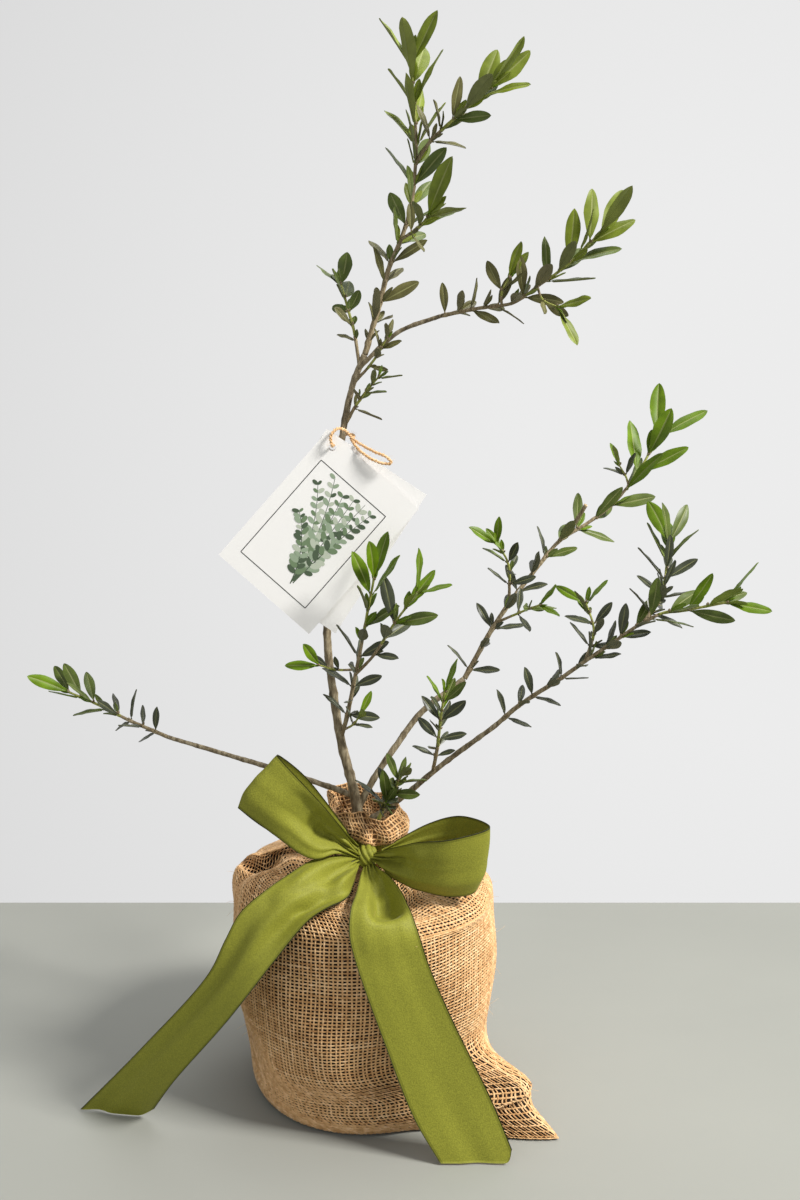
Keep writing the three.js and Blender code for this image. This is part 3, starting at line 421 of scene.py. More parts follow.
# Each spray of foliage: its seed, its root, the ages up to which a leaf is of a kind, and its shoots
SPRAYS = {
    "foliage_crown": (15, tip_of("trunk"), ((0.4, "dull"), (0.66, "mid"), (2, "olive")), [
        Shoot([(8, 8.5, 500), (16.4, 10, 531.6), (28.5, 12, 562), (33.9, 14, 607.7), (30.5, 16, 670.4)],
              (2.0, 0.7), 0.04, 15, (25, 32, 41), (62, 28), 20, 0.1),
        Shoot([(34.4, 2, 553.9), (40.8, -6, 559.3)],
              (1.2, 0.7), 0.35, 3, (22, 30, 38), (66, 30), 30, 0.1, 0, 0.4),
        Shoot([(43.1, 8, 613.3), (59.2, -4, 625.4), (81.3, -14, 641.6)],
              (1.4, 0.7), 0.25, 6, (26, 33, 38), (56, 22), 15, 0.15, 0, 0.66)]),
    "foliage_upper_left": (23, (-4, 6.4, 463), ((0.3, "dull"), (2, "mid")), [
        Shoot([(-7, 9, 484), (-12, 14, 503), (-17, 19, 520)],
              (1.2, 0.7), 0.3, 5, (15, 19, 26), (70, 34), 25, 0.1, broad=1.5)]),
    "foliage_fork": (31, (-7, 6.2, 453), ((2, "dull"),), [
        Shoot([(2, 1, 462), (9, -4, 471), (14, -8, 480)],
              (1.1, 0.6), 0.4, 4, (12, 14, 15), (65, 35), 0, 0.1)]),
    "foliage_trunk": (47, (-12.5, 5.2, 426), ((0.5, "dull"), (2, "mid")), [
        Shoot([(-6, 1, 437), (1, -4, 446), (9, -8, 455)],
              (1.2, 0.6), 0.3, 5, (20, 17, 16), (72, 40), 10, 0.05)]),
    "foliage_top_right": (53, tip_of("bough_top_right"), ((0.55, "dull"), (0.75, "mid"), (2, "olive")), [
        Shoot([(74.7, -16, 499), (95.3, -22, 501.3), (110.5, -28, 511.2), (127.4, -33, 522.9),
               (148.7, -40, 543.4)], (1.35, 0.6), 0.02, 14, (19, 27, 36), (70, 34), 5, 0.36),
        Shoot([(113, -31, 502), (121, -36, 497)], (0.9, 0.5), 0.5, 2, (20, 26), (55, 30), 60, 0, 0, 0.56),
        Shoot([(88, -24, 508), (92, -27, 516)], (0.9, 0.5), 0.5, 2, (22, 24), (50, 24), 30, 0.2, 0, 0.34)]),
    "foliage_right_high": (61, tip_of("bough_right_high"), ((0.4, "old"), (0.8, "mid"), (2, "fresh")), [
        Shoot([(91.3, 30, 292.2), (124.6, 42, 332.4), (138.8, 48, 346.7), (164.9, 55, 361.1),
               (187.8, 62, 382.3), (212.5, 72, 419.9)],
              (1.8, 0.8), 0.03, 15, (21, 24, 45), (66, 32), 10, 0.2),
        Shoot([(96.6, 22, 330.9), (88.4, 14, 344.4)],
              (1.1, 0.6), 0.3, 5, (18, 22, 24), (70, 28), 15, 0.1, 0, 0.26),
        Shoot([(108, 14, 300), (116.3, 6, 304.5)],
              (1, 0.6), 0.5, 3, (17, 18, 20), (66, 36), 40, 0, 0, 0.19),
        Shoot([(146, 42, 358), (152.2, 36, 369.8)], (1.6, 1.4), on=0, at=0.51),
        Shoot([(183, 52, 390), (178, 48, 397)], (0.9, 0.5), 0.6, 2, (18, 20), (50, 26), 20, 0.2, 0, 0.8)]),
    "foliage_right_low": (71, tip_of("bough_right_low"), ((0.62, "old"), (0.9, "mid"), (2, "fresh")), [
        Shoot([(97.4, -32, 246.1), (120.7, -40, 263.6), (145.3, -48, 283.1), (179.3, -62, 308.5),
               (190.9, -66, 310.8), (216.1, -77, 317.7)],
              (1.5, 0.7), 0.04, 15, (17, 20, 28), (68, 30), 0, 0.24),
        Shoot([(143.7, -40, 294.7), (140.5, -30, 310.7)],
              (1, 0.6), 0.25, 5, (18, 20, 23), (76, 50), 10, 0.05, 0, 0.42),
        Shoot([(181.3, -54, 317), (185.9, -48, 327.3), (190.9, -38, 350)],
              (1.2, 0.7), 0.12, 9, (20, 23, 33), (72, 24), 15, 0.1, 0, 0.69)]),
    "foliage_left": (83, tip_of("bough_left"), ((0.6, "old"), (0.94, "mid"), (2, "fresh")), [
        Shoot([(-162.5, 37, 218.8), (-192.5, 42, 231.6), (-210, 45, 238)],
              (1.3, 0.7), 0.12, 8, (18, 23, 29), (72, 28), 5, 0.34)]),
    "foliage_front": (97, (-16.2, 0, 217), ((0.55, "old"), (0.78, "mid"), (2, "fresh")), [
        Shoot([(-11.6, -5, 232.6), (-8.1, -11, 250.3), (-1.3, -20, 284.3), (6.7, -30, 326.5)],
              (1.6, 0.7), 0.16, 10, (21, 26, 33), (72, 24), 10, 0.08),
        Shoot([(5.9, -24, 276.1), (20.6, -33, 299.8), (33.5, -40, 318)],
              (1.1, 0.6), 0.3, 5, (18, 29, 29), (66, 28), 20, 0.08, 0, 0.42),
        Shoot([(-18.3, -22, 267), (-28, -28, 271)],
              (0.9, 0.5), 0.45, 3, (13, 14, 20), (55, 26), 30, 0.08, 0, 0.45),
        Shoot([(-8, -8, 228), (-3.5, -12, 234)],
              (0.9, 0.5), 0.6, 2, (14, 19), (50, 34), 0, 0.1, 0, 0.06)]),
    "foliage_base_right": (101, (44.4, -14.7, 199.5), ((0.72, "old"), (0.9, "mid"), (2, "fresh")), [
        Shoot([(47.2, -26, 221), (48.8, -34, 241), (51.1, -40, 257)],
              (1.3, 0.7), 0.22, 8, (16, 20, 24), (72, 28), 20, 0.1)]),
    "foliage_neck": (113, (-4.6, -1, 150), ((0.55, "old"), (2, "mid")), [
        Shoot([(2, -10, 159), (7.6, -14.5, 166), (13.5, -20, 180), (18.7, -27, 191), (24.4, -34, 203.3)],
              (1.4, 0.7), 0.42, 8, (22, 23, 20), (70, 30), 5, 0.05),
        Shoot([(12, -21, 181), (14, -26, 183)],
              (0.9, 0.5), 0.3, 3, (30, 32, 28), (80, 60), 10, 0, 0, 0.5)]),
}
for _, root, _, shoots in SPRAYS.values():
    for shoot in shoots:
        shoot.grow_from(root, shoots)

# Room that leaves keep clear of: twine, trunk foot and bow as capsules, and the cards as a box
CAPSULES = [((-36, -13, 300), (-20, -13, 405), 3), ((-20, -12, 410), (-12, 0, 416), 5),
            ((-10, -2, 415), (17, -17, 401), 4), ((0, 0, 120), (0, 0, 158), 27),
            ((3, -32, 150), (-60, -58, 208), 26), ((3, -32, 150), (74, -54, 160), 26)]
CARD_ZONE = np.array([(-92, -15.5, 286), (46, -6, 424)], float)
LIMB_ROOM = 4

# How a leaf varies: degrees of turn, shares of its opening, degrees of tilt, shares of its length
TURNS, OPENINGS, TILTS, LENGTHS = (-18, 18), (0.82, 1.18), (-48, 48), (0.86, 1.12)
# Its width and its bend as shares of its length, how much of its face is the light's, and how many stay
WIDTHS, BENDS, LIT, LEAVES_KEPT = (0.26, 0.33), (-0.16, 0.06), 0.72, 0.93
LAST_PAIR = 0.985

# The share of its small young leaves that a spray keeps: the usual one, and others by name
USUAL_KEPT = 0.3
YOUNG_KEPT = {"foliage_neck": 0.95, "foliage_crown": 0.95, "foliage_upper_left": 0.8,
              "foliage_fork": 0.9, "foliage_trunk": 0.9, "foliage_top_right": 0.5, "foliage_front": 0.5,
              "foliage_right_high": 0.55, "foliage_right_low": 0.5}


def distance_to_line(point, line):
    start, step = line[:-1], np.diff(line, axis=0)
    share = np.clip(np.sum((point - start) * step, 1) / np.maximum(np.sum(step * step, 1), 1e-9), 0, 1)
    return np.min(np.linalg.norm(start + step * share[:, None] - point, axis=1))


def is_taken(point):
    """Whether a limb, the bow, the twine or the cards are too near to a point."""
    on_limb = any(distance_to_line(point, route.steps) < LIMB_ROOM for route in ROUTES.values())
    on_thing = any(distance_to_line(point, np.array([a, b], float)) < room for a, b, room in CAPSULES)
    return on_limb or on_thing or bool(np.all((point > CARD_ZONE[0]) & (point < CARD_ZONE[1])))


def is_foreign(point, spray):
    """Whether a point is nearer to another spray than to its own, or nearly."""
    near = {name: min(distance_to_line(point, shoot.route.steps) for shoot in shoots)
            for name, (_, _, _, shoots) in SPRAYS.items()}
    return any(near[name] < near[spray] + 1 for name in SPRAYS if name != spray)


def grow_leaf(shoot, share, turn, opening, length, draw):
    """One leaf by the source's rule: it opens from the shoot, lifts, and turns its face to the light."""
    heading = shoot.route.heading(share)
    side, back = across_of(heading)
    draws = [draw() for _ in range(7)]
    angle = math.radians(turn + mix(*TURNS, draws[0]))
    spread = math.radians(opening * mix(*OPENINGS, draws[1]))
    outward = side * math.cos(angle) + back * math.sin(angle)
    direction = unit(heading * math.cos(spread) + outward * math.sin(spread) + UP * shoot.lift)
    inner = unit(heading - direction * np.dot(heading, direction))
    face = inner * (1 - LIT) + LIGHT * LIT
    face = unit(face - direction * np.dot(face, direction))
    face = turned(face, direction, math.radians(mix(*TILTS, draws[2])))
    size = length * mix(*LENGTHS, draws[3])
    return {"root": shoot.route.at(share), "along": direction, "face": face, "length": size,
            "width": size * mix(*WIDTHS, draws[4]) * shoot.broad, "bend": mix(*BENDS, draws[5]),
            "kept": draws[6] < LEAVES_KEPT}


def grow_spray(name):
    """The leaves of a spray in opposite pairs, each with its age from 0 at the foot to 1 at the tip."""
    seed, _, _, shoots = SPRAYS[name]
    draw = seeded(seed)
    leaves = []
    for shoot in shoots:
        for i in range(shoot.pairs):
            age = i / (shoot.pairs - 1) if shoot.pairs > 1 else 1
            share = mix(shoot.first, LAST_PAIR, age)
            opening, length = along(shoot.opening, age), along(shoot.leaf, age)
            for half in (0, 180):
                turn = shoot.turn + 90 * i + half
                leaf = grow_leaf(shoot, share, turn, opening, length, draw)
                # a younger leaf grows beside it: turned on, less open and half as long
                young = grow_leaf(shoot, share, turn + 30, opening * 0.6, length * 0.5, draw)
                young["kept"] = draw() < YOUNG_KEPT.get(name, USUAL_KEPT)
                leaf["age"], young["age"] = age, min(1, age + 0.25)
                leaves += [leaf, young]
    for leaf in leaves:
        reach = leaf["along"] * leaf["length"]
        for point in (leaf["root"] + reach * 0.5, leaf["root"] + reach):
            leaf["kept"] = leaf["kept"] and not is_taken(point) and not is_foreign(point, name)
    return [leaf for leaf in leaves if leaf["kept"]]


# A leaf blade: stations along it, places across it, the outline as half widths, the stalk's half width
BLADE = np.array([0, 0.03, 0.08, 0.16, 0.26, 0.38, 0.5, 0.62, 0.73, 0.83, 0.91, 0.965, 1])
STATIONS = np.concatenate([[0, 0.045], 0.085 + 0.915 * BLADE])
OUTLINE = np.concatenate([[0, 0], np.sin(math.pi * BLADE ** 1.22).clip(0) ** 0.64])
ACROSS = np.array([-1, -0.6, -0.09, 0, 0.09, 0.6, 1])
STALK = 0.45
# How much a leaf folds, curves sideways and twists, and where its wavy edge starts
BLADE_RANGES = ((0.03, 0.34), (-0.07, 0.07), (-0.5, 0.5), (0, 6))


def add_leaf(shape, leaf, chance):
    """Adds a leaf with a grooved midrib, a fold, a little twist and waving edges, and its underside."""
    length, face, heading = leaf["length"], leaf["face"], leaf["along"]
    across = unit(np.cross(heading, face))
    fold, sickle, twist, wave = (chance.uniform(*span) for span in BLADE_RANGES)
    t = STATIONS[:, None]
    u = ACROSS[None, :]
    half = np.maximum(OUTLINE * leaf["width"] * 0.5, STALK * (STATIONS < 0.5))[:, None]
    blade = (OUTLINE[:, None] > 0.2) * 1.0
    ripple = 0.035 * leaf["width"] * np.sin(t * 15 + wave + 2 * np.sign(u)) * u ** 2 * blade
    upper = fold * np.abs(u) * half * blade - 0.1 * half * u ** 4 - 0.16 * (u == 0) * blade + ripple
    body = (0.42 + 0.5 * (STATIONS < 0.1)[:, None]) * (1 - u ** 4)
    under = upper - body - (u == 0) * (0.55 * (1 - t) + 0.1) * blade
    turn = twist * t
    lean = np.cos(turn)[..., None] * across + np.sin(turn)[..., None] * face
    rise = np.cos(turn)[..., None] * face - np.sin(turn)[..., None] * across
    centre = (leaf["root"] + t[..., None] * length * heading
              + (t ** 2)[..., None] * length * (leaf["bend"] * face + sickle * across))
    flat = centre + lean * (u * half)[..., None]
    faces = grid_faces(len(STATIONS), len(ACROSS))
    rib = np.tile([0, 0, 2, 2, 0, 0], len(STATIONS) - 1)
    shape.add(flat + rise * upper[..., None], faces[:, ::-1], rib)
    shape.add(flat + rise * under[..., None], faces, 1)


def add_bud(shape, root, heading, length, radius):
    """A small pointed bud."""
    t = np.linspace(0, 1, 6)
    add_tube(shape, tube_rings(root + heading * (t * length)[:, None], radius * np.sin(0.35 + 2.75 * t), 6))


# The waves of bark: how many round the limb, their pitch along it, and their height
BARK_WAVES = ((1, 37, 0.05), (2, 23, 0.035), (3, 11, 0.03), (5, 8, 0.022), (7, 4.5, 0.018),
              (4, 6.5, 0.022), (9, 3.6, 0.014))
PORE_STEP, PORE_HEIGHT = 2.6, 0.09
NODE_SWELL = 0.16


def relief(angle, distance, seed, coarse):
    """Uneven bark as a share of the radius: long ridges, short bumps and small pale pores."""
    chance = np.random.default_rng(seed)
    height = np.zeros(np.broadcast_shapes(angle.shape, distance.shape))
    for turns, pitch, size in BARK_WAVES:
        run = distance * 2 * math.pi / (pitch * coarse)
        height += size * np.sin(turns * angle + run + chance.uniform(0, 7))
    for spot in np.arange(2, distance.max(), PORE_STEP):
        middle = chance.uniform(0, 2 * math.pi)
        apart = np.abs((angle - middle + math.pi) % (2 * math.pi) - math.pi)
        height += PORE_HEIGHT * np.exp(-(apart / 0.28) ** 2 - ((distance - spot) / 0.8) ** 2)
    return height


def add_limb(shape, route, radii, step, sides, seed, nodes, coarse=1.0, cut=False):
    """A limb with bark relief, swollen round each of its nodes. Where it was cut, its end face shows."""
    count = max(4, int(route.length / step))
    share = np.linspace(0, 1, count + 1)
    distance = (share * route.length)[:, None]
    angle = full_turn(sides)[None, :]
    radius = np.array([along(radii, s) for s in share])[:, None]
    bulge = 0 * distance
    for k, node in enumerate(nodes):
        near = np.exp(-((distance - node * route.length) / (0.9 + 0.35 * radius)) ** 2)
        bulge = bulge + near * (0.7 + 0.3 * np.cos(2 * angle + k * math.pi))
    radius = radius * (1 + relief(angle, distance, seed, coarse) + NODE_SWELL * bulge)
    end_face = np.arange((count + 2) * sides) >= (count + 1) * sides
    add_tube(shape, tube_rings(route.at(share), radius, sides), end_face & cut)


def add_twigs(twigs, buds, shoot, seed):
    """A shoot's twig, brown at its foot and green at its tip, with two buds. A bare stub is cut off."""
    if not shoot.pairs:
        parts, nodes = [("twigs_bark", 0, 1)], [0.4]
    else:
        green = float(np.clip(1 - 42 / shoot.route.length, 0.35, 0.85))
        parts = [("twigs_bark", 0, green), ("twigs_green", green, 1)]
        nodes = np.linspace(shoot.first, LAST_PAIR, shoot.pairs)
    for part, start, end in parts:
        piece = Route(shoot.route.at(np.linspace(start, end, 9)))
        inside = [(node - start) / (end - start) for node in nodes if start <= node <= end]
        radii = [along(shoot.radii, mix(start, end, s)) for s in (0, 0.5, 1)]
        add_limb(twigs[part], piece, radii, 1.5, 12, seed, inside, cut=not shoot.pairs)
    if shoot.pairs:
        heading = shoot.route.heading(1.0)
        side, _ = across_of(heading)
        for lean in (-1, 1):
            tip = unit(heading + lean * 0.22 * side)
            add_bud(buds, shoot.route.at(0.99) + side * lean * 0.4, tip, 6.5, 0.75)


def build_plant():
    chance = np.random.default_rng(5)
    bark = Shape()
    for index, (name, (_, radii)) in enumerate(LIMBS.items()):
        route = ROUTES[name]
        nodes = np.cumsum(chance.uniform(11, 22, 60)) / route.length
        sides = 26 if name == "trunk" else 18
        add_limb(bark, route, radii, 1.1, sides, index + 3, nodes[nodes < 1], coarse=1.4)
    make_piece("bark_relief", bark, [OLD_BARK], LIMBS)

    twigs = {"twigs_bark": Shape(), "twigs_green": Shape()}
    blades = {kind: Shape() for kind in LEAF_KINDS}
    for name, (seed, _, kinds, shoots) in SPRAYS.items():
        for index, shoot in enumerate(shoots):
            add_twigs(twigs, blades["fresh"], shoot, seed + index)
        for leaf in grow_spray(name):
            age = leaf["age"] + chance.normal(0, 0.07)
            kind = next(kind for limit, kind in kinds if age < limit)
            add_leaf(blades[kind], leaf, chance)
            bud = unit(leaf["along"] + leaf["face"] * 0.8)
            add_bud(twigs["twigs_bark"], leaf["root"] + bud * 0.7, bud, 2.6, 0.6)
    make_piece("twigs_bark", twigs["twigs_bark"], [TWIG_BARK, CUT_WOOD], SPRAYS)
    make_piece("twigs_green", twigs["twigs_green"], [TWIG_GREEN], SPRAYS)
    for kind, shape in blades.items():
        make_piece("leaves_" + kind, shape, LEAF_KINDS[kind], SPRAYS)


build_plant()


# The sack: its outline from foot to rim as radius and height, and what changes round it
SACK_OUTLINE = np.array([(70, 0), (74, 9), (78, 31), (83.5, 62), (85.5, 92), (85.5, 116), (82, 127),
                         (72, 133), (50, 138), (31, 141.5), (20.5, 144.5), (17.5, 149), (17.5, 157),
                         (21.5, 164), (26, 175)], float)
NECK_HEIGHT, TIE_HEIGHT = 153, 155
FLAP_ANGLE = -32
# Creases that run to the neck: direction in degrees, height and half width in radians
CREASES = ((168, -5, 0.1), (236, 3, 0.12), (262, 3, 0.1), (300, -3, 0.14), (330, 3.5, 0.16),
           (25, -3, 0.12), (80, 3, 0.2))
# Nothing dips below these heights: the pot's rim under the cloth, the cloth, its threads, and the painted
# shade layer behind them
RIM_TOP, CLOTH_LOW, THREADS_LOW, SHADE_LAYER_LOW = 124.0, 0.45, 0.6, 0.25

# The weave: threads up the sack, the pitch of those round it, how deep a thread lies under the cloth's
# face, how far it rises over the one it crosses, the two widths, and how far its ridge and foot stand
WARP_COUNT, WEFT_PITCH = 192, 2.0
THREAD_DEPTH, WEAVE_RISE = 0.75, 0.26
WARP_WIDTH, WEFT_WIDTH = 1.06, 0.98
RIDGE, FOOT = 0.3, 0.28
# How far behind the threads the painted shade layer lies, and the threads on the collar's inner side
SHADE_LAYER_DEPTH, INNER_DEPTH = 0.75, 1.5
JUTE_SHARES = [0.3, 0.45, 0.25]
HAIR_COUNT, HAIR_THICKNESS = 420, 0.1


def sack_outline(share):
    """The outline as the source's spline draws it."""
    last = len(SACK_OUTLINE) - 1
    place = np.clip(share, 0, 1) * last
    index = np.minimum(place.astype(int), last - 1)
    t = (place - index)[..., None]
    p0, p1 = SACK_OUTLINE[np.maximum(index - 1, 0)], SACK_OUTLINE[index]
    p2, p3 = SACK_OUTLINE[index + 1], SACK_OUTLINE[np.minimum(index + 2, last)]
    v1, v2 = (p2 - p0) / 2, (p3 - p1) / 2
    return ((2 * p1 - 2 * p2 + v1 + v2) * t ** 3 + (-3 * p1 + 3 * p2 - 2 * v1 - v2) * t ** 2 + v1 * t + p1)


def bump_at(value, centre, reach):
    return np.exp(-((value - centre) / reach) ** 2)


def round_angle(angle, centre):
    """The angle from a centre, between minus and plus half a turn."""
    return np.arctan2(np.sin(angle - centre), np.cos(angle - centre))


def toward(angle, degrees, reach):
    """From 0 to 1, how near an angle is to a direction in degrees."""
    return bump_at(round_angle(angle, math.radians(degrees)), 0, reach)


def pocket_at(x, y):
    """From 0 to 1, how far a place lies in the pocket of the left shoulder."""
    return np.exp(-(((x + 67) / 11) ** 2 + ((y - 2 + 0.3 * (x + 67)) / 8.5) ** 2) ** 1.5)


def flap_bulge(angle, height):
    """The corner of cloth spread on the ground, with its rolled fold, its hollow and its point."""
    turn = round_angle(angle, math.radians(FLAP_ANGLE))
    edge = 18 + 22 * turn
    hollow = bump_at(turn, -0.05, 0.22) * smooth(edge, edge - 3, height) * smooth(-2, 10, height)
    return (63 * np.exp(-(np.abs(turn) / 0.27) ** 1.5) * fade(0, 52, height) ** 1.6
            + 13 * np.exp(-np.abs(turn) / 0.12) * bump_at(height, 25, 6.5)
            + 14 * bump_at(turn, 0.13, 0.09) * bump_at(height, 18, 8) - 9 * hollow
            + 6 * np.exp(-np.abs(turn) / 0.06) * fade(0, 9, height))


def sack_surface(angle, share):
    """Points on the cloth, for angles round the sack and shares of its outline."""
    outline = sack_outline(share)
    radius, height = outline[..., 0], outline[..., 1]
    top = smooth(116, 136, height)
    body = smooth(4, 30, height) * (1 - top)
    neck = (height > 150) | (radius < 20.5)
    pleat = 1.5 * np.cos(13 * angle + 0.8 * np.sin(3 * angle)) * top
    r = radius + np.where(neck, pleat / 2, 0) + flap_bulge(angle, height)
    z = height + np.where(neck, 0, pleat * fade(66, 82, radius))
    z -= 5 * np.cos(angle) * top * smooth(20, 60, radius)
    z += 4 * np.sin(angle) * smooth(156, 172, height)
    # soft dents in the body, a crisp shoulder at the right, and creases that run to the neck
    r += 2 * bump_at(height, 122, 3.5) * toward(angle, -45, 0.6)
    r += body * (1.3 * np.sin(3 * angle + height / 26) + 0.9 * np.sin(5 * angle - height / 17 + 1)
                 + 0.5 * np.sin(9 * angle + height / 9))
    crease = sum(size * toward(angle, place, wide) for place, size, wide in CREASES)
    z += crease * top * smooth(26, 44, radius) * fade(70, 84, radius)
    r += crease * 0.5 * bump_at(height, 126, 9)
    # the hollow under the right ribbon tail, where it dips before the shoulder
    z -= 11 * toward(angle, 280, 0.26) * bump_at(radius, 58, 18) * top
    # the left shoulder: a raised corner, a rolled hem behind a deep pocket, and a lowered lip before it
    x, y = radius * np.cos(angle), radius * np.sin(angle)
    corner = toward(angle, 179, 0.18)
    z += 5 * corner * top * smooth(60, 76, radius)
    r += 4 * corner * bump_at(height, 128, 10)
    shoulder = smooth(112, 130, height)
    hem = shoulder * fade(-46, -32, x) * bump_at(y, 14, 4.5) * smooth(-87, -73, x)
    z += 6 * hem - 7 * shoulder * fade(-64, -46, x) * bump_at(y, -10, 10)
    z -= 15 * smooth(112, 124, height) * pocket_at(x, y)
    z = np.maximum(z, RIM_TOP * ((radius < 82) & (height > RIM_TOP)))
    # the collar: a ruffled rim, rolled outwards at the front, with a slanting fold
    collar = smooth(150, 172, height)
    front = toward(angle, 282, 1.1)
    r += collar * (2.2 * np.sin(4 * angle + height / 7) + 1.4 * np.sin(7 * angle - 1))
    z += collar * (2.2 * np.sin(3 * angle + 2) + 1.6 * np.sin(5 * angle + 1))
    r += 10 * front * bump_at(height, 165, 6.5) - 6 * front * smooth(169, 175, height)
    z -= 5.5 * front * bump_at(height, 162, 4.5)
    slant = round_angle(angle, math.radians(262) - 0.05 * (height - 166))
    r -= 4.5 * bump_at(slant, 0, 0.15) * smooth(154, 160, height)
    twist = angle + 0.5 * smooth(140, 172, height)
    return np.stack([r * np.cos(twist), r * np.sin(twist) - 10 * hem, np.maximum(z, CLOTH_LOW)], axis=-1)


def cloth_grid():
    """A grid on the cloth with a row at and between all weft threads, a column at and between all warps."""
    share = np.linspace(0, 1, 1500)
    run = distances(sack_outline(share))
    rows = int(run[-1] / WEFT_PITCH) * 2 + 1
    shares = np.interp(np.linspace(0, run[-1], rows), run, share)
    around = math.pi / 2 + np.linspace(0, 2 * math.pi, 1441)
    grid = np.empty((rows, 2 * WARP_COUNT, 3))
    lean = np.linspace(0, 1, rows)
    for i, one in enumerate(shares):
        length = distances(sack_surface(around, np.full(around.shape, one)))
        angles = np.interp(np.linspace(0, length[-1], 2 * WARP_COUNT, endpoint=False), length, around)
        tilt = 0.016 * np.cos(angles) * math.sin(math.pi * lean[i]) ** 0.5
        grid[i] = sack_surface(angles, np.clip(one + tilt * (one > 0), 0, 1))
    return grid, shares


def thread_width(count, samples, seed, base):
    """Uneven hand-spun threads: each has its own width, with thick and thin places along it."""
    chance = np.random.default_rng(seed)
    place = np.linspace(0, 1, samples)[None, :]
    width = 1 + 0.06 * chance.normal(size=(count, 1))
    for waves, size in ((5, 0.05), (13, 0.05), (31, 0.07)):
        width = width + size * np.sin(waves * 2 * math.pi * (place + chance.uniform(0, 1, (count, 1))))
    return base * np.clip(width, 0.6, 1.5)


def add_thread(shape, line, normal, side, width, chance, closed=False):
    """Adds a thread as a low round ridge along a line of points, in one of the jute's three looks."""
    half = (width / 2)[:, None]
    ridge = np.stack([line - side * half - normal * FOOT, line + normal * RIDGE,
                      line + side * half - normal * FOOT], axis=1)
    faces = grid_faces(len(line) + closed, 3) % (3 * len(line))
    shape.add(ridge, faces, chance.choice(3, size=1, p=JUTE_SHARES))


def add_hair(shape, root, way, curl):
    """A loose fibre that leaves its root along one way and bends off along another."""
    t = np.linspace(0, 1, 5)[:, None]
    thick = np.linspace(HAIR_THICKNESS, HAIR_THICKNESS * 0.4, 5)
    add_tube(shape, tube_rings(root + way * t + curl * t ** 2, thick, 3))


class Weave:
    """Where the threads lie: a grid of points under the cloth's face, with the ways round, up and out."""

    def __init__(self):
        grid, shares = cloth_grid()
        self.rows, self.columns = grid.shape[:2]
        self.round_run = unit(np.roll(grid, -1, 1) - np.roll(grid, 1, 1))
        self.up_run = unit(np.gradient(grid, axis=0))
        self.normal = unit(np.cross(self.round_run, self.up_run))
        self.grid = grid - self.normal * THREAD_DEPTH
        self.grid[..., 2] = np.maximum(self.grid[..., 2], THREADS_LOW)
        self.inside = self.grid - self.normal * INNER_DEPTH
        self.outline = sack_outline(shares)
        self.tie = int(np.argmax(self.outline[:, 1] > TIE_HEIGHT)) // 2 * 2

        # a warp thread rises at one crossing and dips at the next, and a weft thread the other way about
        self.row, self.column = np.meshgrid(np.arange(self.rows), np.arange(self.columns), indexing="ij")
        crossing = (self.row % 2 == 0) & (self.column % 2 == 0)
        over = np.where(crossing, (-1.0) ** (self.row // 2 + self.column // 2), 0.0)
        self.rise = self.normal * (WEAVE_RISE * over)[..., None]

        # threads are thinned in the pocket of the left shoulder, so that the near-black painted shade layer
        # shows through them as the pocket's shade
        x, y, z = np.moveaxis(self.grid, -1, 0)
        self.pocket_shade_fullness = 1 - 0.85 * pocket_at(x, y) * bump_at(z, 124, 7)


def build_warp(weave, chance):
    """The threads up the sack: a third end where the cloth gathers, and a third nearer to the neck."""
    row, column = weave.row, weave.column
    wander = 0.25 * np.sin(row / 9.0 + column * 1.7) + 0.18 * np.sin(row / 23.0 + column * 2.9)
    warp = weave.grid + weave.rise + weave.round_run * wander[..., None]
    width = thread_width(WARP_COUNT, weave.rows, 31, WARP_WIDTH)
    radius, height = weave.outline.T
    stops = [weave.rows, *(int(np.argmax((radius < reach) & (height > 116))) for reach in (30, 52))]
    parts = {"front": Shape(), "back": Shape()}
    for k in range(WARP_COUNT):
        end = stops[k % 3]
        line = slice(0, end), 2 * k
        part = parts["front" if weave.grid[weave.rows // 3, 2 * k, 1] < 0 else "back"]
        # thinner in the pocket, where the painted shade layer shows through
        swollen = width[k, :end] * weave.pocket_shade_fullness[line]
        add_thread(part, warp[line], weave.normal[line], weave.round_run[line], swollen, chance)
        if end == weave.rows:
            line = slice(weave.tie, end), 2 * k
            bare = weave.inside[line] - weave.rise[line]
            add_thread(part, bare, -weave.normal[line], weave.round_run[line], width[k, weave.tie:], chance)
    for name, shape in parts.items():
        make_piece("burlap_warp_" + name, shape, BURLAP, ["burlap_sack"])


def build_weft(weave, chance):
    """The threads round and round the sack, over and under the warp, in a low and a high piece."""
    half = weave.rows // 2
    middle = half + half % 2
    width = thread_width(half + 1, weave.columns, 37, WEFT_WIDTH)
    for name, band in (("low", range(0, middle, 2)), ("high", range(middle, weave.rows, 2))):
        shape = Shape()
        for i in band:
            normal, up_run, rise = weave.normal[i], weave.up_run[i], weave.rise[i]
            # thinner in the pocket, where the painted shade layer shows through
            swollen = width[i // 2] * weave.pocket_shade_fullness[i]
            add_thread(shape, weave.grid[i] - rise, normal, up_run, swollen, chance, closed=True)
            if i >= weave.tie:
                bare = weave.inside[i] + rise
                add_thread(shape, bare, -normal, up_run, width[i // 2], chance, closed=True)
        make_piece("burlap_weft_" + name, shape, BURLAP, ["burlap_sack"])


def build_fuzz(weave, chance):
    """Loose fibres that stand off the cloth and stay above the ground."""
    fuzz = Shape()
    for _ in range(HAIR_COUNT):
        i, j = int(chance.uniform(12, weave.rows - 2)), int(chance.uniform(0, weave.columns))
        root = weave.grid[i, j]
        way = unit(weave.normal[i, j] * 0.7 + chance.normal(size=3) * 0.8) * chance.uniform(2.5, 7)
        curl = unit(chance.normal(size=3)) * 2.5 - UP
        if (root + way + curl)[2] > 1:
            add_hair(fuzz, root, way, curl)
    make_piece("burlap_fuzz", fuzz, [BURLAP[0]], ["burlap_sack"])


